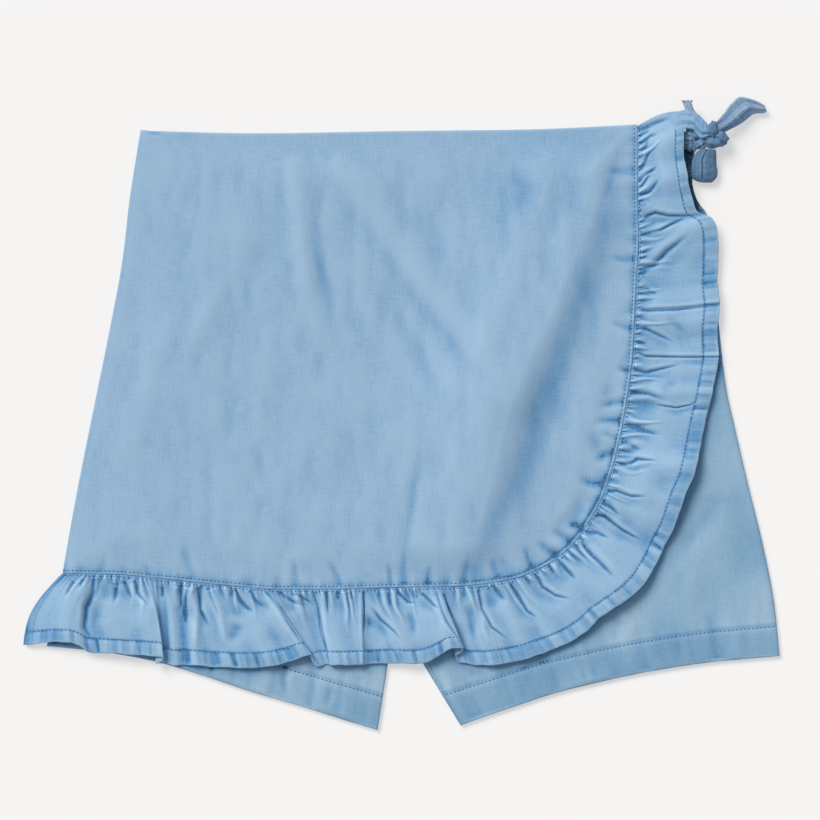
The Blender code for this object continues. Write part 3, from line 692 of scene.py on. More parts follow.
# %% Sections of the ruffle
RUFFLE_LOWER = [
    # seam, hem_x, hem_y, hem_z, bow
    (0.0, -204.0, -124.7, 1.8, -5.4), (3.8, -195.2, -123.7, 3.9, -4.8),
    (8.1, -187.1, -122.6, 5.6, -4.2), (13.0, -179.6, -122.9, 6.8, -3.8),
    (16.2, -173.6, -124.7, 5.6, -3.6), (18.4, -168.2, -128.3, 3.8, -3.5),
    (20.5, -164.4, -128.8, 3.7, -3.0), (26.5, -156.3, -129.1, 5.0, -1.0),
    (37.3, -143.9, -129.6, 5.8, 0.0), (43.6, -134.2, -130.1, 7.4, 0.8),
    (46.0, -128.3, -131.0, 7.6, 1.0), (47.4, -128.2, -132.6, 6.2, 1.0),
    (50.0, -132.2, -134.5, 5.2, 1.0), (51.4, -131.0, -134.3, 3.8, 1.0),
    (53.8, -126.1, -134.7, 3.5, 0.8), (58.0, -121.8, -135.5, 4.9, 0.0),
    (62.3, -116.4, -135.3, 3.9, 0.0), (67.7, -110.4, -135.5, 5.5, 0.0),
    (73.7, -104.0, -136.1, 4.1, 0.0), (80.7, -89.4, -136.6, 5.3, 0.0),
    (89.4, -81.8, -136.8, 4.5, 0.0), (97.5, -71.0, -135.8, 5.7, 0.0),
    (104.5, -60.2, -133.4, 6.8, 0.0), (108.0, -52.9, -130.7, 7.6, 0.0),
    (110.2, -48.8, -129.4, 7.2, 0.0), (112.0, -47.6, -131.6, 5.6, 0.0),
    (114.0, -46.4, -135.5, 4.0, 0.0), (118.2, -44.4, -136.2, 3.5, 0.0),
    (128.3, -40.4, -135.0, 3.5, 0.0), (134.2, -38.5, -135.0, 3.9, 0.5),
    (136.4, -38.1, -135.0, 5.6, 0.8), (138.6, -35.4, -135.3, 6.4, 0.5),
    (149.9, -26.7, -135.2, 5.4, 0.0), (160.7, -21.1, -135.0, 6.0, 0.0),
    (162.3, -19.7, -135.0, 4.6, 0.0), (163.4, -14.9, -134.7, 3.8, 0.0),
    (165.0, -4.1, -134.2, 3.8, 0.0), (167.2, 0.8, -134.2, 5.0, 0.0),
    (172.6, 4.6, -134.5, 5.6, 0.0), (185.0, 10.5, -134.5, 5.0, 0.0),
    (192.0, 15.4, -132.8, 5.8, 0.0), (197.4, 21.9, -129.1, 7.2, 0.0),
    (200.7, 27.8, -126.1, 8.4, 0.0), (202.8, 33.5, -126.1, 8.2, 0.0),
    (204.0, 32.6, -128.4, 6.8, 0.0), (204.9, 29.3, -130.2, 5.6, 0.0),
    (205.7, 30.5, -133.2, 4.2, 0.0), (207.8, 35.9, -134.7, 3.6, 0.0),
    (213.6, 42.4, -135.4, 3.6, 0.0), (219.0, 47.8, -135.3, 4.8, 0.0),
    (224.75, 55.0, -134.45, 4.8, 0.0),
]
RUFFLE_CORNER = [
    (224.75, 55.0, -134.45, 4.8, 0.0), (228.0, 61.3, -133.4, 4.2, 0.0),
    (234.0, 69.4, -131.2, 5.2, 0.0), (240.4, 79.1, -127.7, 4.5, 0.0),
    (245.0, 85.6, -125.3, 5.4, 0.0), (256.5, 98.0, -118.3, 5.6, 0.0),
    (265.0, 106.1, -110.4, 6.9, 0.0), (272.5, 113.7, -104.8, 7.6, 0.0),
    (284.0, 124.5, -97.2, 7.2, 0.0), (292.0, 131.5, -90.2, 6.2, 0.0),
    (299.5, 136.9, -81.5, 4.8, 0.0), (305.0, 141.2, -72.4, 4.6, 0.0),
    (312.5, 147.7, -58.9, 6.4, 0.0), (319.0, 152.0, -45.4, 8.2, 0.0),
    (329.3, 158.0, -31.3, 7.9, 0.0), (341.0, 160.9, -18.4, 6.2, 0.0),
    (350.2, 162.8, -8.6, 5.0, 0.0), (365.6, 166.1, 5.9, 4.6, 0.0),
    (381.0, 169.3, 20.0, 5.5, 0.0), (388.0, 170.9, 30.0, 5.0, 0.0),
    (401.0, 170.4, 43.7, 4.4, 0.0), (414.25, 171.5, 59.1, 4.8, 0.0),
]
RUFFLE_SIDE = [
    (414.25, 171.5, 59.1, 4.8, 0.0), (425.0, 170.4, 72.4, 4.2, 0.0),
    (438.7, 170.8, 85.9, 4.8, 0.0), (449.5, 170.1, 98.3, 5.6, 0.0),
    (455.0, 167.7, 105.3, 5.7, 0.0), (458.7, 162.8, 107.5, 5.0, 0.0),
    (463.0, 159.3, 109.1, 6.0, 0.0), (471.0, 156.3, 117.2, 7.6, 0.0),
    (480.2, 153.9, 127.4, 8.6, 0.0), (491.0, 152.0, 139.3, 9.0, 0.0),
    (500.8, 151.7, 149.0, 9.2, 0.5), (507.3, 152.0, 155.0, 9.0, 1.2),
    (513.5, 152.4, 163.0, 7.6, 2.4),
]

# %% [markdown]
# Creases of the ruffle
#
# They fan from the gathers to the hem. Crisp ones were pressed when the garment was packed,
# and soft ones come from the way the strip lies. Two go right across, by the wearer's hip.
# The rows are of the same kind as the panel's, because it is the same kind of fold.

# %% Crease rows of the ruffle
HEM_CREASES = [
    ([(-164.7, -88.6), (-165.8, -96.1), (-169.7, -104.2), (-170.8, -115.0), (-168.1, -120.4),
      (-163.6, -124.2)], 1.1, 1.5, -0.6),
    ([(-176.5, -90.0), (-181.5, -99.0)], 0.6, 1.2, 0.0),
    ([(-171.5, -89.0), (-173.5, -94.0)], 0.5, 0.8, 0.0),
    ([(-153.7, -91.0), (-154.0, -97.0), (-155.2, -103.7)], 0.7, 1.3, 0.3),
    ([(-149.8, -90.0), (-147.7, -94.0), (-144.6, -100.5)], 0.7, 1.0, 0.3),
    ([(-144.0, -89.6), (-142.0, -96.5), (-135.2, -104.5)], 0.9, 0.9, -0.5),
    ([(-128.8, -93.0), (-128.6, -100.0)], 0.6, 1.0, 0.0),
    ([(-121.2, -93.0), (-121.2, -105.8)], -0.5, 1.5, 0.0),
    ([(-118.0, -92.0), (-117.0, -103.0), (-115.3, -116.0)], 1.0, 1.7, 0.0),
    ([(-114.2, -93.0), (-110.4, -105.8), (-111.0, -122.0), (-111.5, -130.0)], -1.0, 2.1, 0.0),
    ([(-109.0, -93.0), (-108.3, -105.8), (-103.0, -116.0)], 1.1, 1.1, 0.4),
    ([(-103.0, -94.0), (-98.2, -107.6), (-95.1, -121.3), (-89.9, -128.8)], -0.9, 2.1, 0.0),
    ([(-104.5, -93.5), (-100.5, -103.0), (-97.0, -112.0)], 0.8, 1.0, 0.0),
    ([(-90.5, -94.5), (-87.6, -99.5), (-83.8, -103.8), (-78.6, -108.4)], 1.0, 1.4, 0.5),
    ([(-82.0, -95.0), (-79.5, -99.5), (-73.5, -105.0)], 0.6, 1.1, 0.4),
    ([(-88.3, -110.7), (-91.5, -124.2)], 0.7, 3.2, 0.0),
    ([(-74.8, -101.5), (-66.0, -113.0), (-57.0, -123.0)], -0.6, 4.5, 0.0),
    ([(-72.8, -95.5), (-65.2, -104.9), (-61.2, -112.2), (-55.2, -121.3), (-48.0, -129.0)],
     0.6, 0.9, -0.5),
    ([(-66.0, -96.0), (-60.5, -100.0), (-52.5, -104.0)], 0.7, 1.0, 0.4),
    ([(-58.0, -97.0), (-52.0, -99.5), (-47.0, -103.5)], 0.6, 0.8, 0.3),
    ([(-46.6, -95.5), (-44.4, -103.8), (-42.9, -118.3), (-39.9, -128.1), (-38.8, -134.0)],
     0.9, 0.9, 0.7),
    ([(-40.8, -96.0), (-39.2, -109.1)], 0.8, 0.8, 0.0),
    ([(-34.5, -96.0), (-34.0, -101.0)], 0.6, 0.9, 0.0),
    ([(-27.5, -96.0), (-26.5, -101.5)], 0.6, 0.9, 0.0),
    ([(-20.5, -95.5), (-20.1, -103.8), (-20.5, -122.0)], 0.9, 0.7, -0.4),
    ([(-18.7, -101.5), (-11.1, -110.7), (-3.5, -117.5), (2.1, -125.5)], 0.9, 0.9, 0.6),
    ([(-18.5, -106.0), (-14.0, -116.0), (-12.0, -128.0)], 0.6, 4.2, 0.0),
    ([(-1.9, -95.5), (3.5, -101.5), (8.9, -102.3)], 0.9, 0.8, -0.4),
    ([(7.3, -95.0), (8.9, -100.8)], 0.7, 0.7, 0.0),
    ([(3.0, -105.0), (6.0, -113.0), (7.0, -122.0)], 0.6, 2.0, 0.0),
    ([(11.1, -96.6), (18.6, -103.8), (21.7, -105.3)], 0.9, 0.8, 0.4),
    ([(19.0, -96.0), (22.2, -106.9), (24.6, -112.2), (29.9, -119.8), (33.4, -126.0)],
     0.6, 0.8, -0.5),
    ([(22.6, -97.0), (26.2, -107.5), (29.3, -112.2)], 0.7, 0.8, 0.0),
    ([(36.0, -100.0), (38.0, -112.0), (39.5, -124.0)], 0.8, 3.0, 0.0),
    ([(42.9, -105.1), (44.6, -116.6), (48.3, -126.0)], -0.7, 1.7, 0.0),
]
CORNER_CREASES = [
    ([(41.3, -94.5), (43.5, -105.3), (48.9, -115.0), (58.9, -122.8)], 0.9, 0.9, 0.5),
    ([(48.0, -92.3), (52.0, -96.0), (57.5, -102.4)], 0.9, 1.7, 0.4),
    ([(59.0, -90.5), (63.5, -98.6), (67.9, -106.1), (75.5, -111.4)], 0.9, 0.9, 0.5),
    ([(66.5, -87.5), (70.5, -93.0)], 0.6, 0.9, 0.0),
    ([(72.0, -84.6), (76.3, -93.3), (83.1, -97.7), (92.9, -100.1)], 1.0, 0.9, 0.6),
    ([(80.0, -81.5), (82.5, -86.5)], 0.6, 0.8, 0.0),
    ([(86.0, -77.4), (89.4, -83.7), (95.4, -90.7)], 0.9, 1.4, 0.4),
    ([(94.1, -70.1), (98.6, -72.4), (106.1, -79.2), (117.6, -90.6)], 1.0, 1.5, 0.5),
    ([(99.5, -63.0), (106.1, -64.2), (114.0, -68.0)], 0.8, 1.3, 0.0),
    ([(104.0, -54.2), (109.9, -55.4), (119.1, -62.5), (130.4, -68.6)], 1.0, 0.9, 0.6),
    ([(108.0, -47.4), (113.0, -50.2), (119.1, -56.5)], 0.8, 1.3, 0.4),
    ([(110.8, -41.6), (116.1, -41.6), (123.7, -44.3), (133.5, -44.3)], 1.0, 0.9, 0.6),
    ([(113.7, -31.3), (117.5, -31.9)], 0.6, 0.9, 0.0),
    ([(117.6, -26.9), (124.4, -26.5), (127.1, -24.3), (140.3, -25.4)], 1.0, 0.9, 0.5),
    ([(118.5, -15.0), (124.5, -17.0), (130.0, -20.0)], 0.7, 1.4, 0.4),
    ([(120.6, -2.7), (124.5, -6.5), (131.5, -9.5), (142.5, -12.4)], 0.8, 1.8, 0.5),
    ([(135.3, 5.4), (148.1, 3.4), (155.7, 4.9), (161.5, 8.8)], 0.8, 0.55, 0.3),
    ([(123.6, 11.9), (132.9, 11.0), (145.5, 6.2)], 0.7, 1.4, 0.4),
    ([(125.1, 23.2), (132.0, 22.4), (151.6, 27.1)], 0.8, 0.9, 0.4),
    ([(138.0, 12.0), (150.0, 18.0)], 0.4, 3.5, 0.0),
    ([(126.9, 32.9), (132.9, 31.1), (149.6, 30.7), (172.9, 30.8), (195.0, 30.8)],
     0.9, 0.6, 0.4),
    ([(126.1, 45.4), (132.0, 45.9), (148.6, 38.0)], 0.7, 0.9, 0.4),
    ([(126.4, 38.5), (133.0, 38.0)], 0.6, 0.8, 0.0),
    ([(141.0, 52.0), (147.0, 49.0), (155.0, 43.0)], 0.45, 2.6, 0.0),
    ([(128.8, 55.2), (148.8, 55.9), (164.8, 57.9), (190.0, 60.1)], 0.6, 0.7, 0.0),
]
SIDE_CREASES = [
    ([(128.8, 56.2), (148.8, 56.9), (164.8, 58.9), (190.0, 61.1)], 0.5, 0.7, 0.4),
    ([(127.6, 66.0), (133.0, 66.5), (139.0, 64.5)], 0.6, 1.0, 0.3),
    ([(128.0, 75.8), (135.8, 80.1), (143.4, 88.0), (157.3, 98.7)], 0.9, 1.6, 0.5),
    ([(128.4, 84.0), (133.5, 85.5)], 0.6, 0.9, 0.0),
    ([(128.4, 96.9), (139.6, 99.4), (154.6, 106.3)], 1.0, 1.0, 0.5),
    ([(128.0, 105.3), (136.9, 108.5), (143.9, 106.9), (160.5, 106.9)], 0.9, 0.9, 0.4),
    ([(128.4, 112.0), (133.5, 112.5)], 0.6, 0.9, 0.0),
    ([(128.8, 116.5), (134.0, 120.0), (139.7, 127.5)], 0.8, 1.1, 0.4),
    ([(128.7, 123.8), (133.0, 129.0), (139.1, 135.0)], 0.9, 1.2, 0.4),
    ([(128.9, 131.0), (131.5, 136.5), (134.3, 142.5)], 0.8, 1.0, 0.3),
    ([(128.9, 138.9), (133.7, 148.5)], 0.8, 1.1, 0.3),
    ([(128.5, 145.5), (134.0, 149.5), (139.5, 151.5)], 0.7, 1.1, 0.0),
    ([(127.6, 152.1), (137.4, 156.9), (146.0, 160.0)], 0.8, 1.3, 0.4),
    ([(128.2, 149.3), (135.2, 153.2)], 0.6, 0.9, 0.0),
]
RUFFLE_CREASES = HEM_CREASES + CORNER_CREASES + SIDE_CREASES
CREASE_DEPTH = 1.25
print("creases on the ruffle:", len(RUFFLE_CREASES))

# %% Shape of the ruffle
GATHER_PITCH, HEM_PITCH, GATHER_HEIGHT = 2.3, 2.9, 1.4
SPRING, CROWN, SEAM_GAP = 0.6, 0.22, 0.15
HEM_ROW = 0.82            # where the turned hem starts, as a share of the ruffle's width
RUFFLE_WIDTH = 42.0
FINE = 5                  # steps in each column of gathers
FULLNESS = 1.4            # length of the strip's hem for each length of seam
LEANS_FROM, LEANS_OVER, LEAN = 425.0, 45.0, 3.5     # up the side the gathers lean to the tie
HEM_RISE, EDGE_DROP, HEM_UNEVEN = 0.3, 0.35, 0.28


def gathers(column, v, distance):
    """Uneven ridges that the gathering thread pulls up at the seam."""
    lean = 1.6 * hills_along(column * 0.13, 6)
    lean += LEAN * smooth_step((distance - LEANS_FROM) / LEANS_OVER)
    column = column - lean * v + 0.9 * soft_hills(column * 0.35, v * 4, 3)
    crest = np.rint(column / 2)
    size = 0.3 + 1.1 * scramble_of(crest, 5)
    reach = 0.16 + 0.5 * scramble_of(crest, 9) ** 2
    ridge = (0.5 * (1 + np.cos(np.pi * column))) ** (1 + 1.5 * np.minimum(v / reach, 1.0))
    long_ones = GATHER_HEIGHT * size * ridge * smooth_step((reach - v) / (0.85 * reach))
    short_ones = 0.35 * np.cos(2 * np.pi * column + 1.3) * smooth_step((0.09 - v) / 0.06)
    return (long_ones + short_ones) * smooth_step(v / 0.04)


def ruffle_surface(sections, first_column):
    """A function that places (column, share of width) on one strip of the ruffle."""
    table = np.array(sections, float)
    seam_run = np.diff(table[:, 0])
    hem_run = np.linalg.norm(np.diff(table[:, 1:4], axis=0), axis=1)
    counts = np.maximum(1, np.rint(np.maximum(seam_run / GATHER_PITCH, hem_run / HEM_PITCH)))
    knots = np.concatenate([[0], np.cumsum(counts.astype(int))])
    hem_points = table[:, 1:4]
    hem_lengths = lengths_along(hem_points) + table[0, 0] * FULLNESS

    def place(c, v):
        distance, hem_x, hem_y, hem_z, bow = (through(knots, table[:, k], c) for k in range(5))
        start = along(seam, distance)
        ahead = along(seam, distance + 0.5) - along(seam, distance - 0.5)
        ahead = ahead / np.linalg.norm(ahead, axis=1)[:, None]
        hem = np.column_stack([hem_x, hem_y])
        width = np.linalg.norm(hem - start, axis=1)
        run = through(knots, hem_lengths, c)
        uneven = HEM_UNEVEN * hills_along(run / 4.5, 26) * smooth_step((v - 0.7) / 0.3)
        share = (SEAM_GAP + v * (width - SEAM_GAP) + uneven) / width
        xy = start + (hem - start) * share[:, None]
        xy = xy + ahead * (bow * np.sin(np.pi * v))[:, None]
        pitch = through(knots, table[:, 0], c + 0.5) - through(knots, table[:, 0], c - 0.5)
        room = np.clip(pitch / GATHER_PITCH, 0.0, 1.0) ** 2
        lift = (hem_z - SEAM_Z) * (v ** SPRING + CROWN * np.sin(np.pi * v))
        wave = soft_hills(run / 3.1, v * 1.2, 21) + 0.5 * soft_hills(run / 1.5, v * 3, 24)
        size = 0.30 + 0.16 * hills_along(run / 16, 22)
        in_hem = smooth_step((v - HEM_ROW + 0.03) / 0.05) * smooth_step((1.04 - v) / 0.08)
        ditch = bell((v - HEM_ROW) * RUFFLE_WIDTH, 0.55)
        rolled = smooth_step((v - 0.965) / 0.035)
        x, y = xy.T
        mood = 0.30 * soft_hills(x / 10 + 50, y / 10, 23) * smooth_step((v - 0.1) / 0.3)
        mood += 0.95 * soft_hills((c + first_column) / 4.2, v * 1.4, 25) * smooth_step(v / 0.25)
        height = SEAM_Z + lift + gathers(c + first_column, v, distance) * room + mood
        height += CREASE_DEPTH * crease_heights(x, y, RUFFLE_CREASES) * smooth_step(v / 0.05)
        height += size * wave * in_hem + HEM_RISE * smooth_step((v - HEM_ROW) / 0.06)
        height += -STITCH_DITCH * ditch - EDGE_DROP * rolled
        return np.column_stack([xy, height])

    fine_columns = np.arange(0, knots[-1] + 1e-6, 1 / FINE)
    return place, knots[-1], np.interp(fine_columns, knots, hem_lengths)


# %% The three strips of the ruffle
SIDE_HEM, SIDE_HEM_RISE, SIDE_HEM_DYE = 1.6, 0.3, 0.2     # the free end is turned under
RUBBED_EDGE = (0.38, 0.8)         # strength, and reach in mm
HEM_DYE, HEM_PATCHES = 0.16, 0.20
AT_HEM_STITCHES, AT_GATHERS = (0.15, 0.9), (0.26, 0.15)


def ruffle_strip(name, node, sections, first_column, free_end=False):
    """One strip of the ruffle as cloth, its surface, and the number of its last column."""
    place, last, run = ruffle_surface(sections, first_column)
    columns = np.linspace(0.0, last, last * FINE + 1)
    rows = np.concatenate([np.linspace(0.0, 0.2, 20, endpoint=False),
                           np.linspace(0.2, 0.8, 36, endpoint=False),
                           np.linspace(0.8, 1.0, 17)])
    c, v = grid_of(columns, rows)
    points = place(c, v)
    in_side_hem = smooth_step((SIDE_HEM - c) / 0.3) if free_end else 0 * c
    points[:, 2] += SIDE_HEM_RISE * in_side_hem
    grid = points.reshape(len(rows), len(columns), 3)
    # Paler on ridges as wash wear, and bluer in recesses partly as painted shade, at three sizes
    wear_and_painted_light = wear_and_painted_shade_of(grid[..., 2], 2, 0.85) + wear_and_painted_shade_of(grid[..., 2], 8, 0.30) - 0.5
    wear_and_painted_light += wear_and_painted_shade_of(grid[..., 2], 18, 0.12) - 0.5
    share = v.reshape(wear_and_painted_light.shape)
    edge = bell((1 - share) * RUFFLE_WIDTH, RUBBED_EDGE[1])
    wear_and_painted_light += (RUBBED_EDGE[0] + 0.2 * hills_along(c / 3, 31).reshape(wear_and_painted_light.shape)) * edge
    patchy = hills_along(c / 0.9, 32).reshape(wear_and_painted_light.shape)
    in_hem = smooth_step((share - HEM_ROW) / 0.03)
    wear_and_painted_light += (HEM_PATCHES * patchy - HEM_DYE) * in_hem * (1 - edge)
    wear_and_painted_light -= AT_HEM_STITCHES[0] * bell((share - HEM_ROW) * RUFFLE_WIDTH, AT_HEM_STITCHES[1])
    wear_and_painted_light -= AT_GATHERS[0] * bell(share, AT_GATHERS[1])
    wear_and_painted_light -= SIDE_HEM_DYE * in_side_hem.reshape(wear_and_painted_light.shape)
    flat_place = np.stack([np.broadcast_to(run, wear_and_painted_light.shape), -share * RUFFLE_WIDTH], axis=-1)
    strip = cloth_object(name, node, grid, flat_place, np.clip(wear_and_painted_light, 0.06, 0.98),
                         ruffle_cloth)
    return strip, place, last


hem_strip, hem_place, hem_last = ruffle_strip(
    "ruffle_along_hem", "ruffle_hem_run", RUFFLE_LOWER, 0, free_end=True)
corner_strip, corner_place, corner_last = ruffle_strip(
    "ruffle_round_corner", "ruffle_corner_run", RUFFLE_CORNER, hem_last)
side_strip, side_place, side_last = ruffle_strip(
    "ruffle_up_side", "ruffle_side_run", RUFFLE_SIDE, hem_last + corner_last)

# %% [markdown]
# The shorts
#
# Two backs lie on the table and two fronts on them. Only the lower legs and a sliver at the
# left hip show from above, but from below the backs and their elastic casing show whole. The
# hems are turned up once and sewn, which draws them into soft puckers. A second layer of
# cloth could be laid inside each hem, but only its edge would show, so on the fronts a small
# step in height stands for it.

# %% Outlines of the shorts
LEG_HEM, LEG_LENGTH, WAISTBAND = 17.0, 290.0, 28.0
ON_TABLE = 0.40           # the lowest middle of a cloth, whose wall then just clears the table
SHOWS_FROM = 0.70         # the part of a leg that the overskirt leaves open
BAND_LEANS = (-4.2, -2.1)     # how far the casing's foot lies to the side at its two ends
CENTRE_X = 8.9
WAIST = [(-140.2, 152.0), (-79.7, 150.8), (-0.8, 151.8), (66.7, 152.6), (159.0, 152.0)]
RIGHT_SIDE = [(-140.2, 152.0), (-142.2, 140.0), (-146.0, 115.6), (-149.8, 83.2), (-155.7, 50.8),
              (-165.5, 2.2), (-175.2, -46.4), (-182.2, -85.9), (-191.4, -125.3)]
LEFT_SIDE = [(159.0, 152.0), (156.9, 142.6), (156.9, 125.3), (159.6, 115.0), (165.0, 107.5),
             (168.2, 88.6), (170.0, 64.0), (171.8, 42.7), (175.2, 14.0), (179.8, -7.0),
             (187.1, -38.3), (195.0, -70.7), (201.2, -103.1), (204.0, -130.5)]
RIGHT_HEM = [(-191.4, -125.3), (-168.2, -127.4), (-138.0, -132.3), (-105.6, -141.5),
             (-79.7, -150.1), (-53.7, -157.7), (-27.8, -165.8), (-12.7, -170.4)]
LEFT_HEM = [(204.0, -130.5), (166.6, -133.9), (134.2, -138.8), (108.3, -144.2), (82.4, -150.7),
            (56.4, -159.3), (31.6, -167.9)]
RIGHT_INSEAM = [(-1.0, -103.7), (-7.3, -135.5), (-12.7, -170.4)]
LEFT_INSEAM = [(-0.6, -103.7), (13.4, -131.8), (31.6, -167.9)]
LEFT_BACK_INSEAM = [(-0.6, -110.0), (10.4, -133.0), (31.6, -167.9)]
BAND_TOP = [(-140.7, 153.4), (-126.0, 151.7), (-100.0, 150.4), (-60.0, 151.4), (0.0, 152.4),
            (66.0, 153.2), (107.0, 153.6), (159.0, 152.0)]
RUFFLE_HEM = smooth_curve([row[1:3] for row in RUFFLE_LOWER + RUFFLE_CORNER[1:]
                           + RUFFLE_SIDE[1:]], 6)
LEG_CREASES = [
    ([(176.0, -40.0), (160.0, -62.0), (140.0, -86.0)], 0.7, 5.0, 0.0),
    ([(178.0, -30.0), (183.0, -70.0), (180.0, -108.0)], 0.5, 7.0, 0.0),
    ([(163.0, -50.0), (160.0, -80.0), (148.0, -112.0)], -0.5, 8.0, 0.0),
    ([(120.0, -108.0), (112.0, -124.0)], 0.4, 4.0, 0.0),
    ([(84.0, -124.0), (70.0, -136.0)], 0.4, 4.5, 0.0),
    ([(40.0, -136.0), (34.0, -150.0)], 0.4, 4.0, 0.0),
    ([(-26.0, -138.0), (-22.0, -156.0)], 0.4, 4.0, 0.0),
    ([(-62.0, -130.0), (-64.0, -144.0), (-60.0, -156.0)], 0.45, 2.2, 0.0),
    ([(-38.0, -146.0), (-41.0, -158.0)], 0.4, 2.2, 0.0),
    ([(-9.5, -152.0), (-12.0, -166.0)], 0.4, 1.8, 0.0),
]


# %% Shape of a leg
HEM_PUCKER, LEG_DITCH, LEG_EDGE_DROP = 0.26, 0.15, 0.25
HIDDEN_DRAPE, BACK_DRAPE = 0.3, 0.5       # what lies under other cloth is calmer


def point_at_x(curve, x):
    """The distance along the curve at which it passes x."""
    lengths, xy = curve
    return np.interp(x, xy[:, 0], lengths)


def leg_surface(top, start, end, side, inner, hem, lower, z, rise, seed):
    """A function that places (u from side to centre, v from waist to hem) on a leg panel."""
    inner = [tuple(along(top, end)), *inner]
    edge = [tuple(along(top, start)), *side[1:]]
    shape = patch(part_of(top, start, end), whole(smooth_curve(hem)),
                  whole(smooth_curve(edge)), whole(straight_curve(inner)))
    hem_length = smooth_curve(hem)[0][-1]
    hem_row = 1 - LEG_HEM / LEG_LENGTH

    def place(u, v):
        near_top = 1 - smooth_step(4 * v)
        lowered = np.column_stack([lower[0] * (1 - u), np.full(len(u), lower[1])])
        xy = shape(u, v) + lowered * near_top[:, None]
        x, y = xy.T
        run = u * hem_length
        in_hem = smooth_step((v - hem_row) / 0.01)
        ditch = bell((v - hem_row) * LEG_LENGTH, 0.7)
        edges = smooth_step(np.minimum(u, 1 - u) / 0.02) * smooth_step((1 - v) / 0.008)
        wave = 1.6 * soft_hills(run / 8.0, v * 3, seed)
        wave += 0.5 * soft_hills(run / 3.1, v * 6, seed + 1)
        near_hem = smooth_step((v - hem_row + 0.05) / 0.05)
        drape = 0.34 * soft_hills(x / 17, y / 40, seed + 2)
        drape += 0.16 * soft_hills(x / 6, y / 18, seed + 3)
        if rise:
            open_part = smooth_step((v - SHOWS_FROM) / 0.15)
            drape = drape * (HIDDEN_DRAPE + (1 - HIDDEN_DRAPE) * open_part)
            drape += crease_heights(x, y, LEG_CREASES)
        else:
            drape = drape * BACK_DRAPE
        height = z + rise * in_hem - LEG_DITCH * ditch + drape * edges
        height = height + HEM_PUCKER * wave * near_hem * edges
        height = resting(height - LEG_EDGE_DROP * (1 - edges), ON_TABLE, 0.15)
        return np.column_stack([xy, height])
    return place, hem_row


LEG_EDGE_WEAR, LEG_HEM_DYE = (0.35, 1.0), 0.20
# Painted shadow on a front under the ruffle's hem: its strength and reach in mm, and the step
# along the hem
PAINTED_SHADOW_UNDER_RUFFLE, RUFFLE_STEP = (0.30, 4.5), 1.5
# Painted shade in the dark gap between the ruffle and the left hip: its bounds, how softly each
# one starts, and its strength
GAP_LEFT, GAP_RIGHT, GAP_FOOT, GAP_PAINTED_SHADE = (138.0, 6.0), (163.5, 3.5), (104.0, 8.0), 0.8
LOWEST_BACK_WEAR = 0.2


def leg_cloth(name, node, columns, rows, fade, *shape):
    """One leg panel as cloth. fade paints a front lighter towards its hem as painted light, and a
    front also gets the painted shade by the ruffle. A back gets neither.
    """
    place, hem_row = leg_surface(*shape)
    covered = rows // 3
    lines = np.concatenate([np.linspace(0.0, SHOWS_FROM, covered, endpoint=False),
                            np.linspace(SHOWS_FROM, 1.0, rows - covered)])
    u, v = grid_of(np.linspace(0, 1, columns), lines)
    points = place(u, v)
    grid = points.reshape(rows, columns, 3)
    down = v.reshape(rows, columns)
    # fade paints the lower part of a front lighter, as painted light
    wear_and_painted_light = wear_and_painted_shade_of(grid[..., 2], 3, 0.8) + fade * smooth_step((down - 0.75) / 0.2)
    wear_and_painted_light += 0.14 * soft_hills(grid[..., 0] / 24, grid[..., 1] / 24, 66)
    wear_and_painted_light -= LEG_HEM_DYE * smooth_step((down - hem_row) / 0.01)
    wear_and_painted_light -= 0.15 * bell((down - hem_row) * LEG_LENGTH, 1.2)
    wear_and_painted_light += LEG_EDGE_WEAR[0] * bell((1 - down) * LEG_LENGTH, LEG_EDGE_WEAR[1])
    # A front gets a painted shadow under the ruffle's hem and painted shade in the gap by the left
    # hip
    if fade:
        off, _ = from_curve(RUFFLE_HEM, points[:, :2], RUFFLE_STEP)
        wear_and_painted_light -= PAINTED_SHADOW_UNDER_RUFFLE[0] * bell(off, PAINTED_SHADOW_UNDER_RUFFLE[1]).reshape(rows, columns)
        x, y, _ = points.T
        gap = smooth_step((GAP_RIGHT[0] - x) / GAP_RIGHT[1])
        gap *= smooth_step((x - GAP_LEFT[0]) / GAP_LEFT[1])
        gap *= smooth_step((y - GAP_FOOT[0]) / GAP_FOOT[1])
        wear_and_painted_light -= GAP_PAINTED_SHADE * gap.reshape(rows, columns)
    lowest_wear = 0.0 if fade else LOWEST_BACK_WEAR
    piece = cloth_object(name, node, grid, grid[..., :2], np.clip(wear_and_painted_light, lowest_wear, 0.98),
                         shorts_cloth)
    return piece, place, hem_row


# %% The four leg panels
HALF_SEAM = 0.2
FOOT = -WAISTBAND - 0.5       # the backs start just below the casing
NO_SHIFT = (0.0, 0.0)
waist, band = smooth_curve(WAIST), smooth_curve(BAND_TOP)
waist_centre, band_centre = point_at_x(waist, CENTRE_X), point_at_x(band, CENTRE_X)
right_in = [(x - HALF_SEAM, y) for x, y in RIGHT_INSEAM]
left_in, left_back_in = ([(x + HALF_SEAM, y) for x, y in inseam]
                         for inseam in (LEFT_INSEAM, LEFT_BACK_INSEAM))
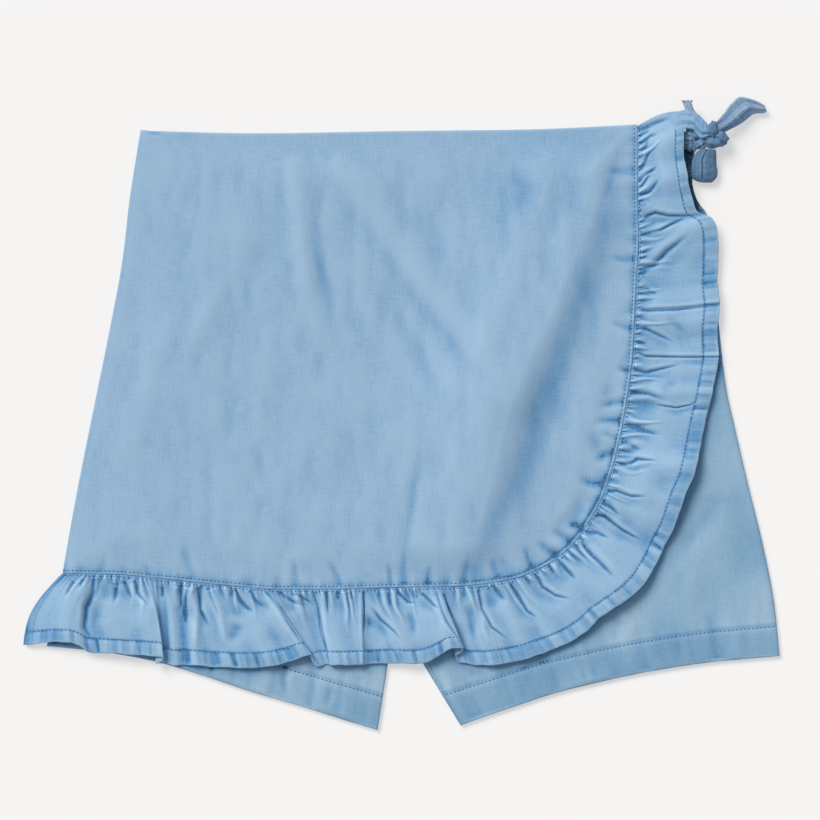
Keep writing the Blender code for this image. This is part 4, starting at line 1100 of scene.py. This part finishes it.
# The fronts' fade values paint them lighter towards the hem, as painted light
right_front, right_front_place, hem_row = leg_cloth(
    "shorts_front_right", "shorts_front_right_leg", 150, 150, 0.18, waist, 0.0,
    waist_centre - HALF_SEAM, RIGHT_SIDE, right_in, RIGHT_HEM, NO_SHIFT, FRONT_Z, SEAM_RISE, 41)
left_front, left_front_place, hem_row = leg_cloth(
    "shorts_front_left", "shorts_front_left_leg", 150, 150, 0.08, waist, waist[0][-1],
    waist_centre + HALF_SEAM, LEFT_SIDE, left_in, LEFT_HEM, NO_SHIFT, FRONT_Z, SEAM_RISE, 51)
right_back, right_back_place, hem_row = leg_cloth(
    "shorts_back_right", "shorts_back_right_leg", 80, 100, 0.0, band, 0.0,
    band_centre - HALF_SEAM, RIGHT_SIDE, right_in, RIGHT_HEM, (BAND_LEANS[0], FOOT), BACK_Z,
    0.0, 61)
left_back, left_back_place, hem_row = leg_cloth(
    "shorts_back_left", "shorts_back_left_leg", 80, 100, 0.0, band, band[0][-1],
    band_centre + HALF_SEAM, LEFT_SIDE, left_back_in, LEFT_HEM, (BAND_LEANS[1], FOOT), BACK_Z,
    0.0, 71)

# %% [markdown]
# The elastic casing
#
# Elastic inside the back waistband draws its cloth into upright folds. The garment lies on
# them, so they rise from the table and none goes below it. An even wave would look like
# corrugated card, so each fold has a height of its own.

# %% Elastic casing
CASING_COLUMNS, CASING_ROWS = 380, 24
CASING_Z, CASING_FOLD = 0.38, 5.2
SEWN_ROW = 0.93           # the casing's stitches, as a share of its depth


def casing_points(u, v):
    """Places (u along the waist, v down the casing) on the folds that its elastic draws."""
    top = along(band, band[0][-1] * u)
    lean = BAND_LEANS[0] * (1 - u) + BAND_LEANS[1] * u
    foot = np.column_stack([lean, np.full(len(u), -WAISTBAND)])
    xy = top + foot * v[:, None]
    run = band[0][-1] * u
    turn = 2 * np.pi * run / CASING_FOLD
    wave = 0.5 + 0.5 * np.cos(turn + 2.0 * soft_hills(run / 9, v * 2, 81))
    size = 0.25 + 0.35 * scramble_of(np.floor(run / CASING_FOLD), 82)
    held_flat = 0.7 * bell((v - SEWN_ROW) * WAISTBAND, 0.8)
    inside = smooth_step(np.minimum(v, 1 - v) / 0.08)
    return np.column_stack([xy, CASING_Z + size * wave * inside * (1 - held_flat)])


u, v = grid_of(np.linspace(0, 1, CASING_COLUMNS), np.linspace(0, 1, CASING_ROWS))
casing_grid = casing_points(u, v).reshape(CASING_ROWS, CASING_COLUMNS, 3)
casing = cloth_object("elastic_casing", "back_waistband", casing_grid, casing_grid[..., :2],
                      np.clip(0.95 - wear_and_painted_shade_of(casing_grid[..., 2], 4, 0.5), 0.02, 0.98),
                      shorts_cloth)

# %% [markdown]
# The tie
#
# The ruffle's top end runs into a narrow tie of doubled cloth. It is knotted to a second tie
# from the shorts, with one end long, one in a hanging loop, and raw threads at the short end.
# A thick curve would be quick to make, but it would look like cord. So each stretch is a
# strip between two edges, with a few sharp folds along it.

# %% Stretches of the tie
TIE_WALL = 0.9
TIE_WIDTH, TIE_STEP = 9.0, 5.0            # flat cloth across, and for each row of a table
TIE_ACROSS, TIE_DOWN = 49, 12             # points across, and for each row of a table
TIE_EDGE_WEAR = (0.2, 0.035)
TIE_STRAP = [
    # ax, ay, az, bx, by, bz, crown
    (145.5, 161.6, 8.2, 145.8, 153.0, 8.4, 0.2), (148.6, 162.6, 9.1, 149.2, 153.4, 9.2, 0.3),
    (152.6, 163.6, 9.2, 153.0, 153.8, 9.2, 0.5), (156.6, 162.9, 8.8, 156.8, 153.2, 8.4, 0.9),
    (159.4, 161.2, 8.3, 158.8, 151.0, 7.4, 1.3), (162.3, 158.3, 7.8, 161.4, 148.6, 7.0, 1.6),
    (164.6, 155.8, 7.4, 164.2, 149.4, 7.0, 1.4), (166.6, 153.8, 7.0, 166.2, 151.0, 7.0, 0.6),
]
TIE_FRAYED_END = [
    (151.5, 167.4, 8.0, 155.9, 167.4, 8.0, 0.2), (152.3, 165.6, 8.4, 156.4, 165.4, 8.2, 0.3),
    (153.2, 163.0, 8.8, 158.4, 161.4, 8.4, 0.3),
]
TIE_TAIL = [
    (166.2, 155.2, 7.4, 170.8, 150.2, 6.4, 1.2), (170.6, 158.2, 7.6, 176.2, 153.3, 5.6, 2.0),
    (173.2, 161.2, 7.2, 180.0, 155.2, 4.8, 2.6), (176.6, 165.6, 6.8, 184.0, 157.6, 4.2, 3.0),
    (179.4, 168.6, 6.2, 187.4, 160.4, 4.0, 2.8), (182.6, 170.6, 5.6, 189.6, 161.9, 3.6, 2.2),
    (187.6, 169.7, 5.0, 192.0, 162.4, 3.2, 1.4), (192.4, 168.0, 4.2, 195.0, 162.5, 3.0, 0.8),
    (196.0, 165.8, 3.4, 196.8, 163.4, 2.9, 0.3),
]
TIE_LOOP = [
    (161.2, 142.8, 6.4, 169.0, 142.4, 6.2, 0.6), (157.9, 139.2, 5.2, 169.4, 139.0, 5.2, 2.0),
    (156.6, 135.0, 4.6, 169.5, 134.6, 4.6, 2.6), (156.3, 130.6, 4.1, 170.1, 131.0, 4.2, 2.6),
    (156.9, 127.6, 3.9, 170.0, 128.6, 3.8, 2.0), (159.2, 126.0, 3.4, 168.2, 126.0, 3.4, 1.2),
    (163.0, 125.2, 3.0, 166.8, 125.1, 3.0, 0.4),
]
# Folds along a stretch: share across at its start and its end, height, half width
STRAP_FOLDS = [(0.95, 0.92, 0.4, 0.05), (0.5, 0.6, 0.35, 0.08), (0.25, 0.35, -0.4, 0.08),
               (0.75, 0.75, -0.5, 0.08)]
TAIL_FOLDS = [(0.57, 0.55, 0.45, 0.022), (0.66, 0.63, 0.45, 0.022), (0.28, 0.30, -0.6, 0.13),
              (0.03, 0.03, 0.35, 0.03)]
LOOP_FOLDS = [(0.24, 0.18, 0.35, 0.04), (0.34, 0.30, 0.5, 0.04), (0.42, 0.40, -0.5, 0.05),
              (0.82, 0.86, 0.2, 0.07)]
FRAY_FOLDS = [(0.3, 0.3, 0.3, 0.08), (0.7, 0.6, 0.3, 0.08)]


def tie_stretch(name, node, rows, folds, seed, peak=0.5, cloth=tie_cloth, tone=(0.0, 0.0),
                flat_start=0.0):
    """One stretch of tie.

    peak is where across it the fold is highest, tone what its start and end are paler by,
    and flat_start the share of its length over which it leaves the flat ruffle.
    """
    table = np.array(rows, float)
    knots = np.arange(len(rows))
    down, across = TIE_DOWN * (len(rows) - 1) + 1, TIE_ACROSS
    v, u = grid_of(np.linspace(0, len(rows) - 1, down), np.linspace(0, 1, across), "ij")
    ax, ay, az, bx, by, bz, crown = (through(knots, table[:, k], v) for k in range(7))
    first, second = np.column_stack([ax, ay, az]), np.column_stack([bx, by, bz])
    points = first + (second - first) * u[:, None]
    width = np.linalg.norm(second - first, axis=1)
    across_peak = np.where(u < peak, u / peak, (1 - u) / (1 - peak))
    round_top, sharp_top = np.sin(np.pi * across_peak / 2), across_peak ** 1.15
    height = crown * (round_top if peak == 0.5 else sharp_top)
    end = v / (len(rows) - 1)
    calm = np.clip(width / 6, 0.2, 1.0)
    for start_u, end_u, size, half in folds:
        middle = start_u + (end_u - start_u) * end + 0.03 * hills_along(v * 1.3, seed)
        height += calm * size * bell(u - middle, half)
    height += 0.12 * calm * soft_hills(u * 5, v * 2.5, seed + 1)
    height -= 0.3 * (1 - smooth_step(np.minimum(u, 1 - u) / 0.06))
    folded = smooth_step(end / flat_start) if flat_start else np.ones(end.shape)
    height *= folded
    points[:, 2] += height
    grid = points.reshape(down, across, 3)
    relief = height.reshape(down, across)
    wear_and_painted_light = wear_and_painted_shade_of(relief, 4, 0.8) + (tone[0] + (tone[1] - tone[0]) * end).reshape(down, across)
    edge = np.minimum(u, 1 - u).reshape(down, across)
    wear_and_painted_light += TIE_EDGE_WEAR[0] * bell(edge, TIE_EDGE_WEAR[1]) * folded.reshape(down, across)
    flat_place = np.stack([u * TIE_WIDTH, -v * TIE_STEP], axis=-1).reshape(down, across, 2)
    return cloth_object(name, node, grid, flat_place, np.clip(wear_and_painted_light, 0.03, 0.98), cloth,
                        wall=TIE_WALL)


strap = tie_stretch("tie_root", "tie_strap", TIE_STRAP, STRAP_FOLDS, 91,
                    cloth=ruffle_cloth, tone=(0.0, -0.20), flat_start=0.5)
frayed = tie_stretch("tie_short_end", "tie_frayed_end", TIE_FRAYED_END, FRAY_FOLDS, 94,
                     tone=(0.20, 0.1))
tail = tie_stretch("tie_long_end", "tie_tail", TIE_TAIL, TAIL_FOLDS, 97, peak=0.61,
                   tone=(-0.05, 0.2))
# The loop's low tone darkens it, partly as its own colour and partly as painted shade
loop = tie_stretch("tie_hanging_loop", "tie_loop", TIE_LOOP, LOOP_FOLDS, 101,
                   tone=(-0.26, -0.22))

# %% [markdown]
# The knot
#
# A pulled knot is a few turns of cloth that have been squeezed into one lump. A strip could
# be wound round itself, but most of it would be hidden and its turns would cut into each
# other. So lumps with ridges round them are melted together with a voxel remesh, which
# leaves a soft waist between the turns, and smoothing takes the steps off.

# %% Knot and bunched end
KNOT_LUMPS = [
    # x, y, z, half sizes, lean of its ridges, number of ridges
    (172.0, 148.4, 5.9, 4.2, 4.3, 4.5, 0.9, 3), (167.7, 153.0, 6.8, 2.5, 5.0, 4.4, 0.1, 3),
    (167.6, 146.0, 6.0, 4.4, 3.2, 3.9, 1.2, 2),
]
BUNCH_LUMPS = [
    (156.2, 150.6, 5.0, 4.4, 4.2, 2.4, 1.2, 3), (156.4, 145.2, 4.6, 4.4, 3.6, 2.0, 0.4, 4),
    (161.6, 145.8, 4.8, 3.6, 3.4, 2.2, 2.2, 3), (164.2, 149.4, 5.2, 2.8, 2.6, 1.8, 0.6, 2),
]
VOXEL = 0.28              # mm, finer than the narrowest waist between two turns


def lump_into(bm, lump, ridge_depth, seed):
    """Adds one lump of wound cloth to the mesh."""
    x, y, z, half_x, half_y, half_z, lean, ridges = lump
    made = bmesh.ops.create_uvsphere(bm, u_segments=72, v_segments=48, radius=1.0)["verts"]
    place = np.array([vert.co for vert in made])
    turn = place[:, 0] * math.cos(lean) + place[:, 1] * math.sin(lean)
    grow = 1 + ridge_depth * np.cos(ridges * np.pi * turn + 0.8)
    grow += 0.05 * soft_hills(place[:, 0] * 3 + 7, place[:, 1] * 3 + place[:, 2] * 2, seed)
    for vert, spot, size in zip(made, place, grow):
        vert.co = Vector((x + half_x * spot[0] * size, y + half_y * spot[1] * size,
                          z + half_z * spot[2] * size)) * MM


def crumple(places, seed):
    """Small uneven folds, from about -1 to 1."""
    x, y, z = places.T
    folds = soft_hills(x / 1.5 + z / 3, y / 1.9, seed)
    return 0.6 * folds + 0.4 * soft_hills(x / 0.8, y / 0.7 + z / 2, seed + 1)


def lump_object(name, node, lumps, ridge_depth, seed, crumpled, tone):
    """Turns of cloth melted into one lump, with small folds as deep as crumpled."""
    bm = bmesh.new()
    for number, lump in enumerate(lumps):
        lump_into(bm, lump, ridge_depth, seed + number)
    mesh = bpy.data.meshes.new(name)
    bm.to_mesh(mesh)
    bm.free()
    piece = placed(name, mesh)
    melt = piece.modifiers.new("melt", "REMESH")
    melt.mode = "VOXEL"
    melt.voxel_size = VOXEL * MM
    soften = piece.modifiers.new("soften", "SMOOTH")
    soften.iterations = 3
    made = bpy.data.meshes.new_from_object(
        piece.evaluated_get(bpy.context.evaluated_depsgraph_get()))
    piece.modifiers.clear()
    piece.data = made
    places = np.array([vert.co for vert in made.vertices]) / MM
    normals = np.array([vert.normal for vert in made.vertices])
    folds = crumple(places, seed + 9)
    made.vertices.foreach_set("co", ((places + normals * (crumpled * folds)[:, None])
                                     * MM).ravel())
    # Painted light: a lump is paler where it faces up. Its small folds are paler on their crests
    # and darker in their hollows.
    wear_and_painted_light = np.clip(tone + 0.12 * normals[:, 2] + (0.12 + 0.6 * crumpled) * folds, 0.02, 0.98)
    made.materials.clear()
    finish_mesh(made, wear_and_painted_light, places, tie_cloth)
    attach(piece, "root")
    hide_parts(node)
    print(name, "faces", len(made.polygons))
    return piece


# The knot's low tone darkens it, partly as its own colour and partly as painted shade
knot = lump_object("tie_knot_cloth", "tie_knot", KNOT_LUMPS, ridge_depth=0.07, seed=111,
                   crumpled=0.10, tone=0.24)
lump_object("tie_bunch_cloth", "tie_bunched_end", BUNCH_LUMPS, ridge_depth=0.12, seed=121,
            crumpled=0.45, tone=0.30)

# %% [markdown]
# Raw threads
#
# The short end was cut, not hemmed, so warp threads stand out of it. Blender's hair could
# make them, but a few bars from the stitch helper are enough at this size.

# %% Raw threads at the short end
THREADS = 26
FRAY_START, FRAY_WIDTH = (151.5, 166.9, 7.9), 4.4
RAW_SIZE = (2.6, 0.36, 0.30)          # length, width, height
raw_thread = thread_of("raw_warp_thread", 1500.0, (0.150, 0.210, 0.330), (0.420, 0.480, 0.600),
                       0.8)
number = np.arange(THREADS)
across_end = number / (THREADS - 1)
roots = np.column_stack([FRAY_START[0] + FRAY_WIDTH * across_end,
                         FRAY_START[1] + 0.9 * scramble_of(number, 10),
                         FRAY_START[2] + 0.6 * scramble_of(number, 7)])
leans = np.column_stack([1.5 * (scramble_of(number, 8) - 0.5) + 0.9 * (across_end - 0.5),
                         np.ones(THREADS), 0.9 * (scramble_of(number, 9) - 0.4)])
fray = bars_object("raw_threads", roots + 0.5 * leans, leans, facing_up(THREADS), RAW_SIZE,
                   raw_thread)

# %% [markdown]
# Where the stitches go
#
# A double row holds the ruffle: one row on the panel's turned edge and one at the gathers.
# Single rows hold the ruffle's hem, the leg hems and the casing. All of them could be dropped
# on to the cloth, but in a pleat they would land on its upper layer only. So rows on the
# ruffle are read from its own surface formula, and rows on flat pieces are dropped on to them
# from the side that shows.

# %% Rows on the ruffle
HEM_TOP = 153.5           # the hem ends here, where the ruffle runs on into the tie
GATHER_ROW = 0.026        # share of the ruffle's width
LIES_ON = WALL / 2 + 0.05             # from the middle of the cloth up to a stitch


def row_on_ruffle(name, place, last, share):
    """A row of stitches along one strip, at a share of its width."""
    columns = np.linspace(0.02, last - 0.02, last * 12)
    path = place(columns, np.full(len(columns), share))
    spots, runs = evenly(path[path[:, 1] < HEM_TOP] if share == HEM_ROW else path)
    spots[:, 2] += LIES_ON
    return bars_object(name, spots, runs, facing_up(len(spots)), STITCH_SIZE, thread)


hem_rows = []
for label, place, last in (("hem", hem_place, hem_last), ("corner", corner_place, corner_last),
                           ("side", side_place, side_last)):
    hem_rows.append([row_on_ruffle(f"hem_stitches_{label}", place, last, HEM_ROW),
                     row_on_ruffle(f"gather_stitches_{label}", place, last, GATHER_ROW)])


# %% Rows on the flat pieces
SUNK = 0.10               # stitches below the garment are pressed into its cloth
CLEAR_OF = 50.0           # rays start this far above or below the cloth
BELOW_DITCH = 0.003       # from a leg's turned hem to its stitches, as a share of its length


def dropped(piece, spots, from_above=True):
    """The spots' places on the piece's surface, as seen from above or below, and its normals."""
    tree = BVHTree.FromObject(piece, bpy.context.evaluated_depsgraph_get())
    way = -1.0 if from_above else 1.0
    places, ups, kept = [], [], []
    for index, (x, y) in enumerate(spots[:, :2]):
        place, up, _, _ = tree.ray_cast(Vector((x, y, -CLEAR_OF * way)) * MM,
                                        Vector((0, 0, way)))
        if place:
            places.append(np.array(place) / MM)
            ups.append(np.array(up))
            kept.append(index)
    return np.array(places), np.array(ups), kept


def row_on_piece(name, piece, path, from_above=True):
    """A row of stitches along a path, on the piece's upper or lower side."""
    spots, runs = evenly(path)
    places, ups, kept = dropped(piece, spots, from_above)
    runs = np.column_stack([runs[kept], np.zeros(len(kept))])
    if not from_above:
        places = places - SUNK * ups
    return bars_object(name, places, runs, ups, STITCH_SIZE, thread)


distances = np.arange(0.0, seam[0][-1], 1.0)
ahead = along(seam, distances + 0.5) - along(seam, distances - 0.5)
inward = np.column_stack([-ahead[:, 1], ahead[:, 0]])
inward /= np.linalg.norm(inward, axis=1)[:, None]
panel_row = row_on_piece("panel_edge_stitches", overskirt,
                         along(seam, distances) + inward * (SEAM_BAND - 0.1))


def row_along_leg(piece, place, from_above):
    """The row that holds a leg's turned hem."""
    across = np.linspace(0.004, 0.996, 300)
    path = place(across, np.full(len(across), hem_row + BELOW_DITCH))
    return row_on_piece(f"{piece.name}_hem_stitches", piece, path[:, :2], from_above)


leg_rows = {piece: [row_along_leg(piece, place, from_above)]
            for piece, place, from_above in ((right_front, right_front_place, True),
                                             (left_front, left_front_place, True),
                                             (right_back, right_back_place, False),
                                             (left_back, left_back_place, False))}
across_waist = np.linspace(0.003, 0.997, 400)
casing_path = casing_points(across_waist, np.full(len(across_waist), SEWN_ROW))
casing_row = row_on_piece("casing_stitches", casing, casing_path[:, :2], from_above=False)

# %% [markdown]
# Cut sizes of the cloth
#
# Every sheet lists the size that it was cut to, how it is held, what it rests on and what is
# sewn on it, and its laid area is printed beside its cut. A ruffle strip was cut longer than
# the seam that it is gathered on to.

# %% Cut sizes
def area_of(piece):
    """Area of one face of the cloth, in square metres."""
    return sum(face.area for face in piece.data.polygons)


SHEETS = [
    # piece, width and length of its cut, area of the cut or None, held, rests on, sewn on it
    (overskirt, (0.315, 0.255), None, "laid", [right_front, left_front], [panel_row]),
    (hem_strip, (0.300, 0.043), None, "gathered", [overskirt, right_front], hem_rows[0]),
    (corner_strip, (0.248, 0.043), None, "gathered", [overskirt, left_front], hem_rows[1]),
    (side_strip, (0.112, 0.043), None, "gathered", [overskirt, left_front], hem_rows[2]),
    (right_front, (0.215, 0.325), 0.052, "laid", [right_back], leg_rows[right_front]),
    (left_front, (0.215, 0.325), 0.052, "laid", [left_back], leg_rows[left_front]),
    (right_back, (0.215, 0.300), 0.047, "laid", [], leg_rows[right_back]),
    (left_back, (0.215, 0.300), 0.047, "laid", [], leg_rows[left_back]),
    (casing, (0.330, 0.030), None, "gathered", [], [casing_row]),
    (strap, (0.024, 0.013), None, "folded", [side_strip], []),
    (frayed, (0.010, 0.010), 0.000032, "folded", [strap], [fray]),
    (tail, (0.011, 0.034), None, "folded", [knot], []),
    (loop, (0.014, 0.019), None, "folded", [knot], []),
]
for piece, flat, area, held, rests_on, sewn in SHEETS:
    print(piece.name, "laid area", round(area_of(piece), 5), "cut", round(flat[0] * flat[1], 5))

# %% [markdown]
# Floor, light and camera
#
# The garment lies on a plain pale ground, under a wide soft light from the upper left and a
# bright room. Lamps on all sides would light it more evenly, but then no fold would show. The
# camera looks straight down through a long lens, so nothing leans away.

# %% Floor
floor_mesh = bpy.data.meshes.new("floor")
FLOOR_REACH, FLOOR_Z = 12.0, -0.0001     # metres
floor_mesh.from_pydata([(x * FLOOR_REACH, y * FLOOR_REACH, FLOOR_Z)
                        for x, y in ((-1, -1), (1, -1), (1, 1), (-1, 1))], [], [(0, 1, 2, 3)])
paper = bpy.data.materials.new("pale_paper")
paper.use_nodes = True
paper_finish = paper.node_tree.nodes["Principled BSDF"].inputs
paper_finish["Base Color"].default_value = (0.450, 0.442, 0.436, 1.0)
paper_finish["Emission Color"].default_value = (1.0, 0.985, 0.975, 1.0)
paper_finish["Emission Strength"].default_value = 0.475
paper_finish["Roughness"].default_value = 0.9
paper_finish["Specular IOR Level"].default_value = 0.1
floor_mesh.materials.append(paper)
floor = placed("floor", floor_mesh)

# %% Light
LIGHT_FROM = Vector((-0.62, 0.78, 0.88))
world = bpy.data.worlds.new("bright_room")
bpy.context.scene.world = world
world.use_nodes = True
sky = world.node_tree.nodes["Background"].inputs
sky["Color"].default_value = (0.86, 0.97, 1.10, 1.0)
sky["Strength"].default_value = 0.42
sun_data = bpy.data.lights.new("wide_soft_light", "SUN")
sun_data.energy = 2.75
sun_data.angle = math.radians(30)
sun_data.color = (1.10, 1.02, 0.93)
sun = placed("wide_soft_light", sun_data)
sun.rotation_euler = LIGHT_FROM.to_track_quat("Z", "Y").to_euler()

# %% Camera
CAMERA_HEIGHT, FRAME_WIDTH, SENSOR = 2.2, 0.4428, 36.0      # metres, and mm for the sensor
CAMERA_X, CAMERA_Y = 0.0046, 0.0022
camera_data = bpy.data.cameras.new("camera_above")
camera_data.sensor_width = SENSOR
camera_data.lens = SENSOR * CAMERA_HEIGHT / FRAME_WIDTH
camera = placed("camera_above", camera_data)
camera.location = (CAMERA_X, CAMERA_Y, CAMERA_HEIGHT)
bpy.context.scene.camera = camera
bpy.context.scene.view_settings.view_transform = "Standard"
print("lens", round(camera_data.lens), "mm")
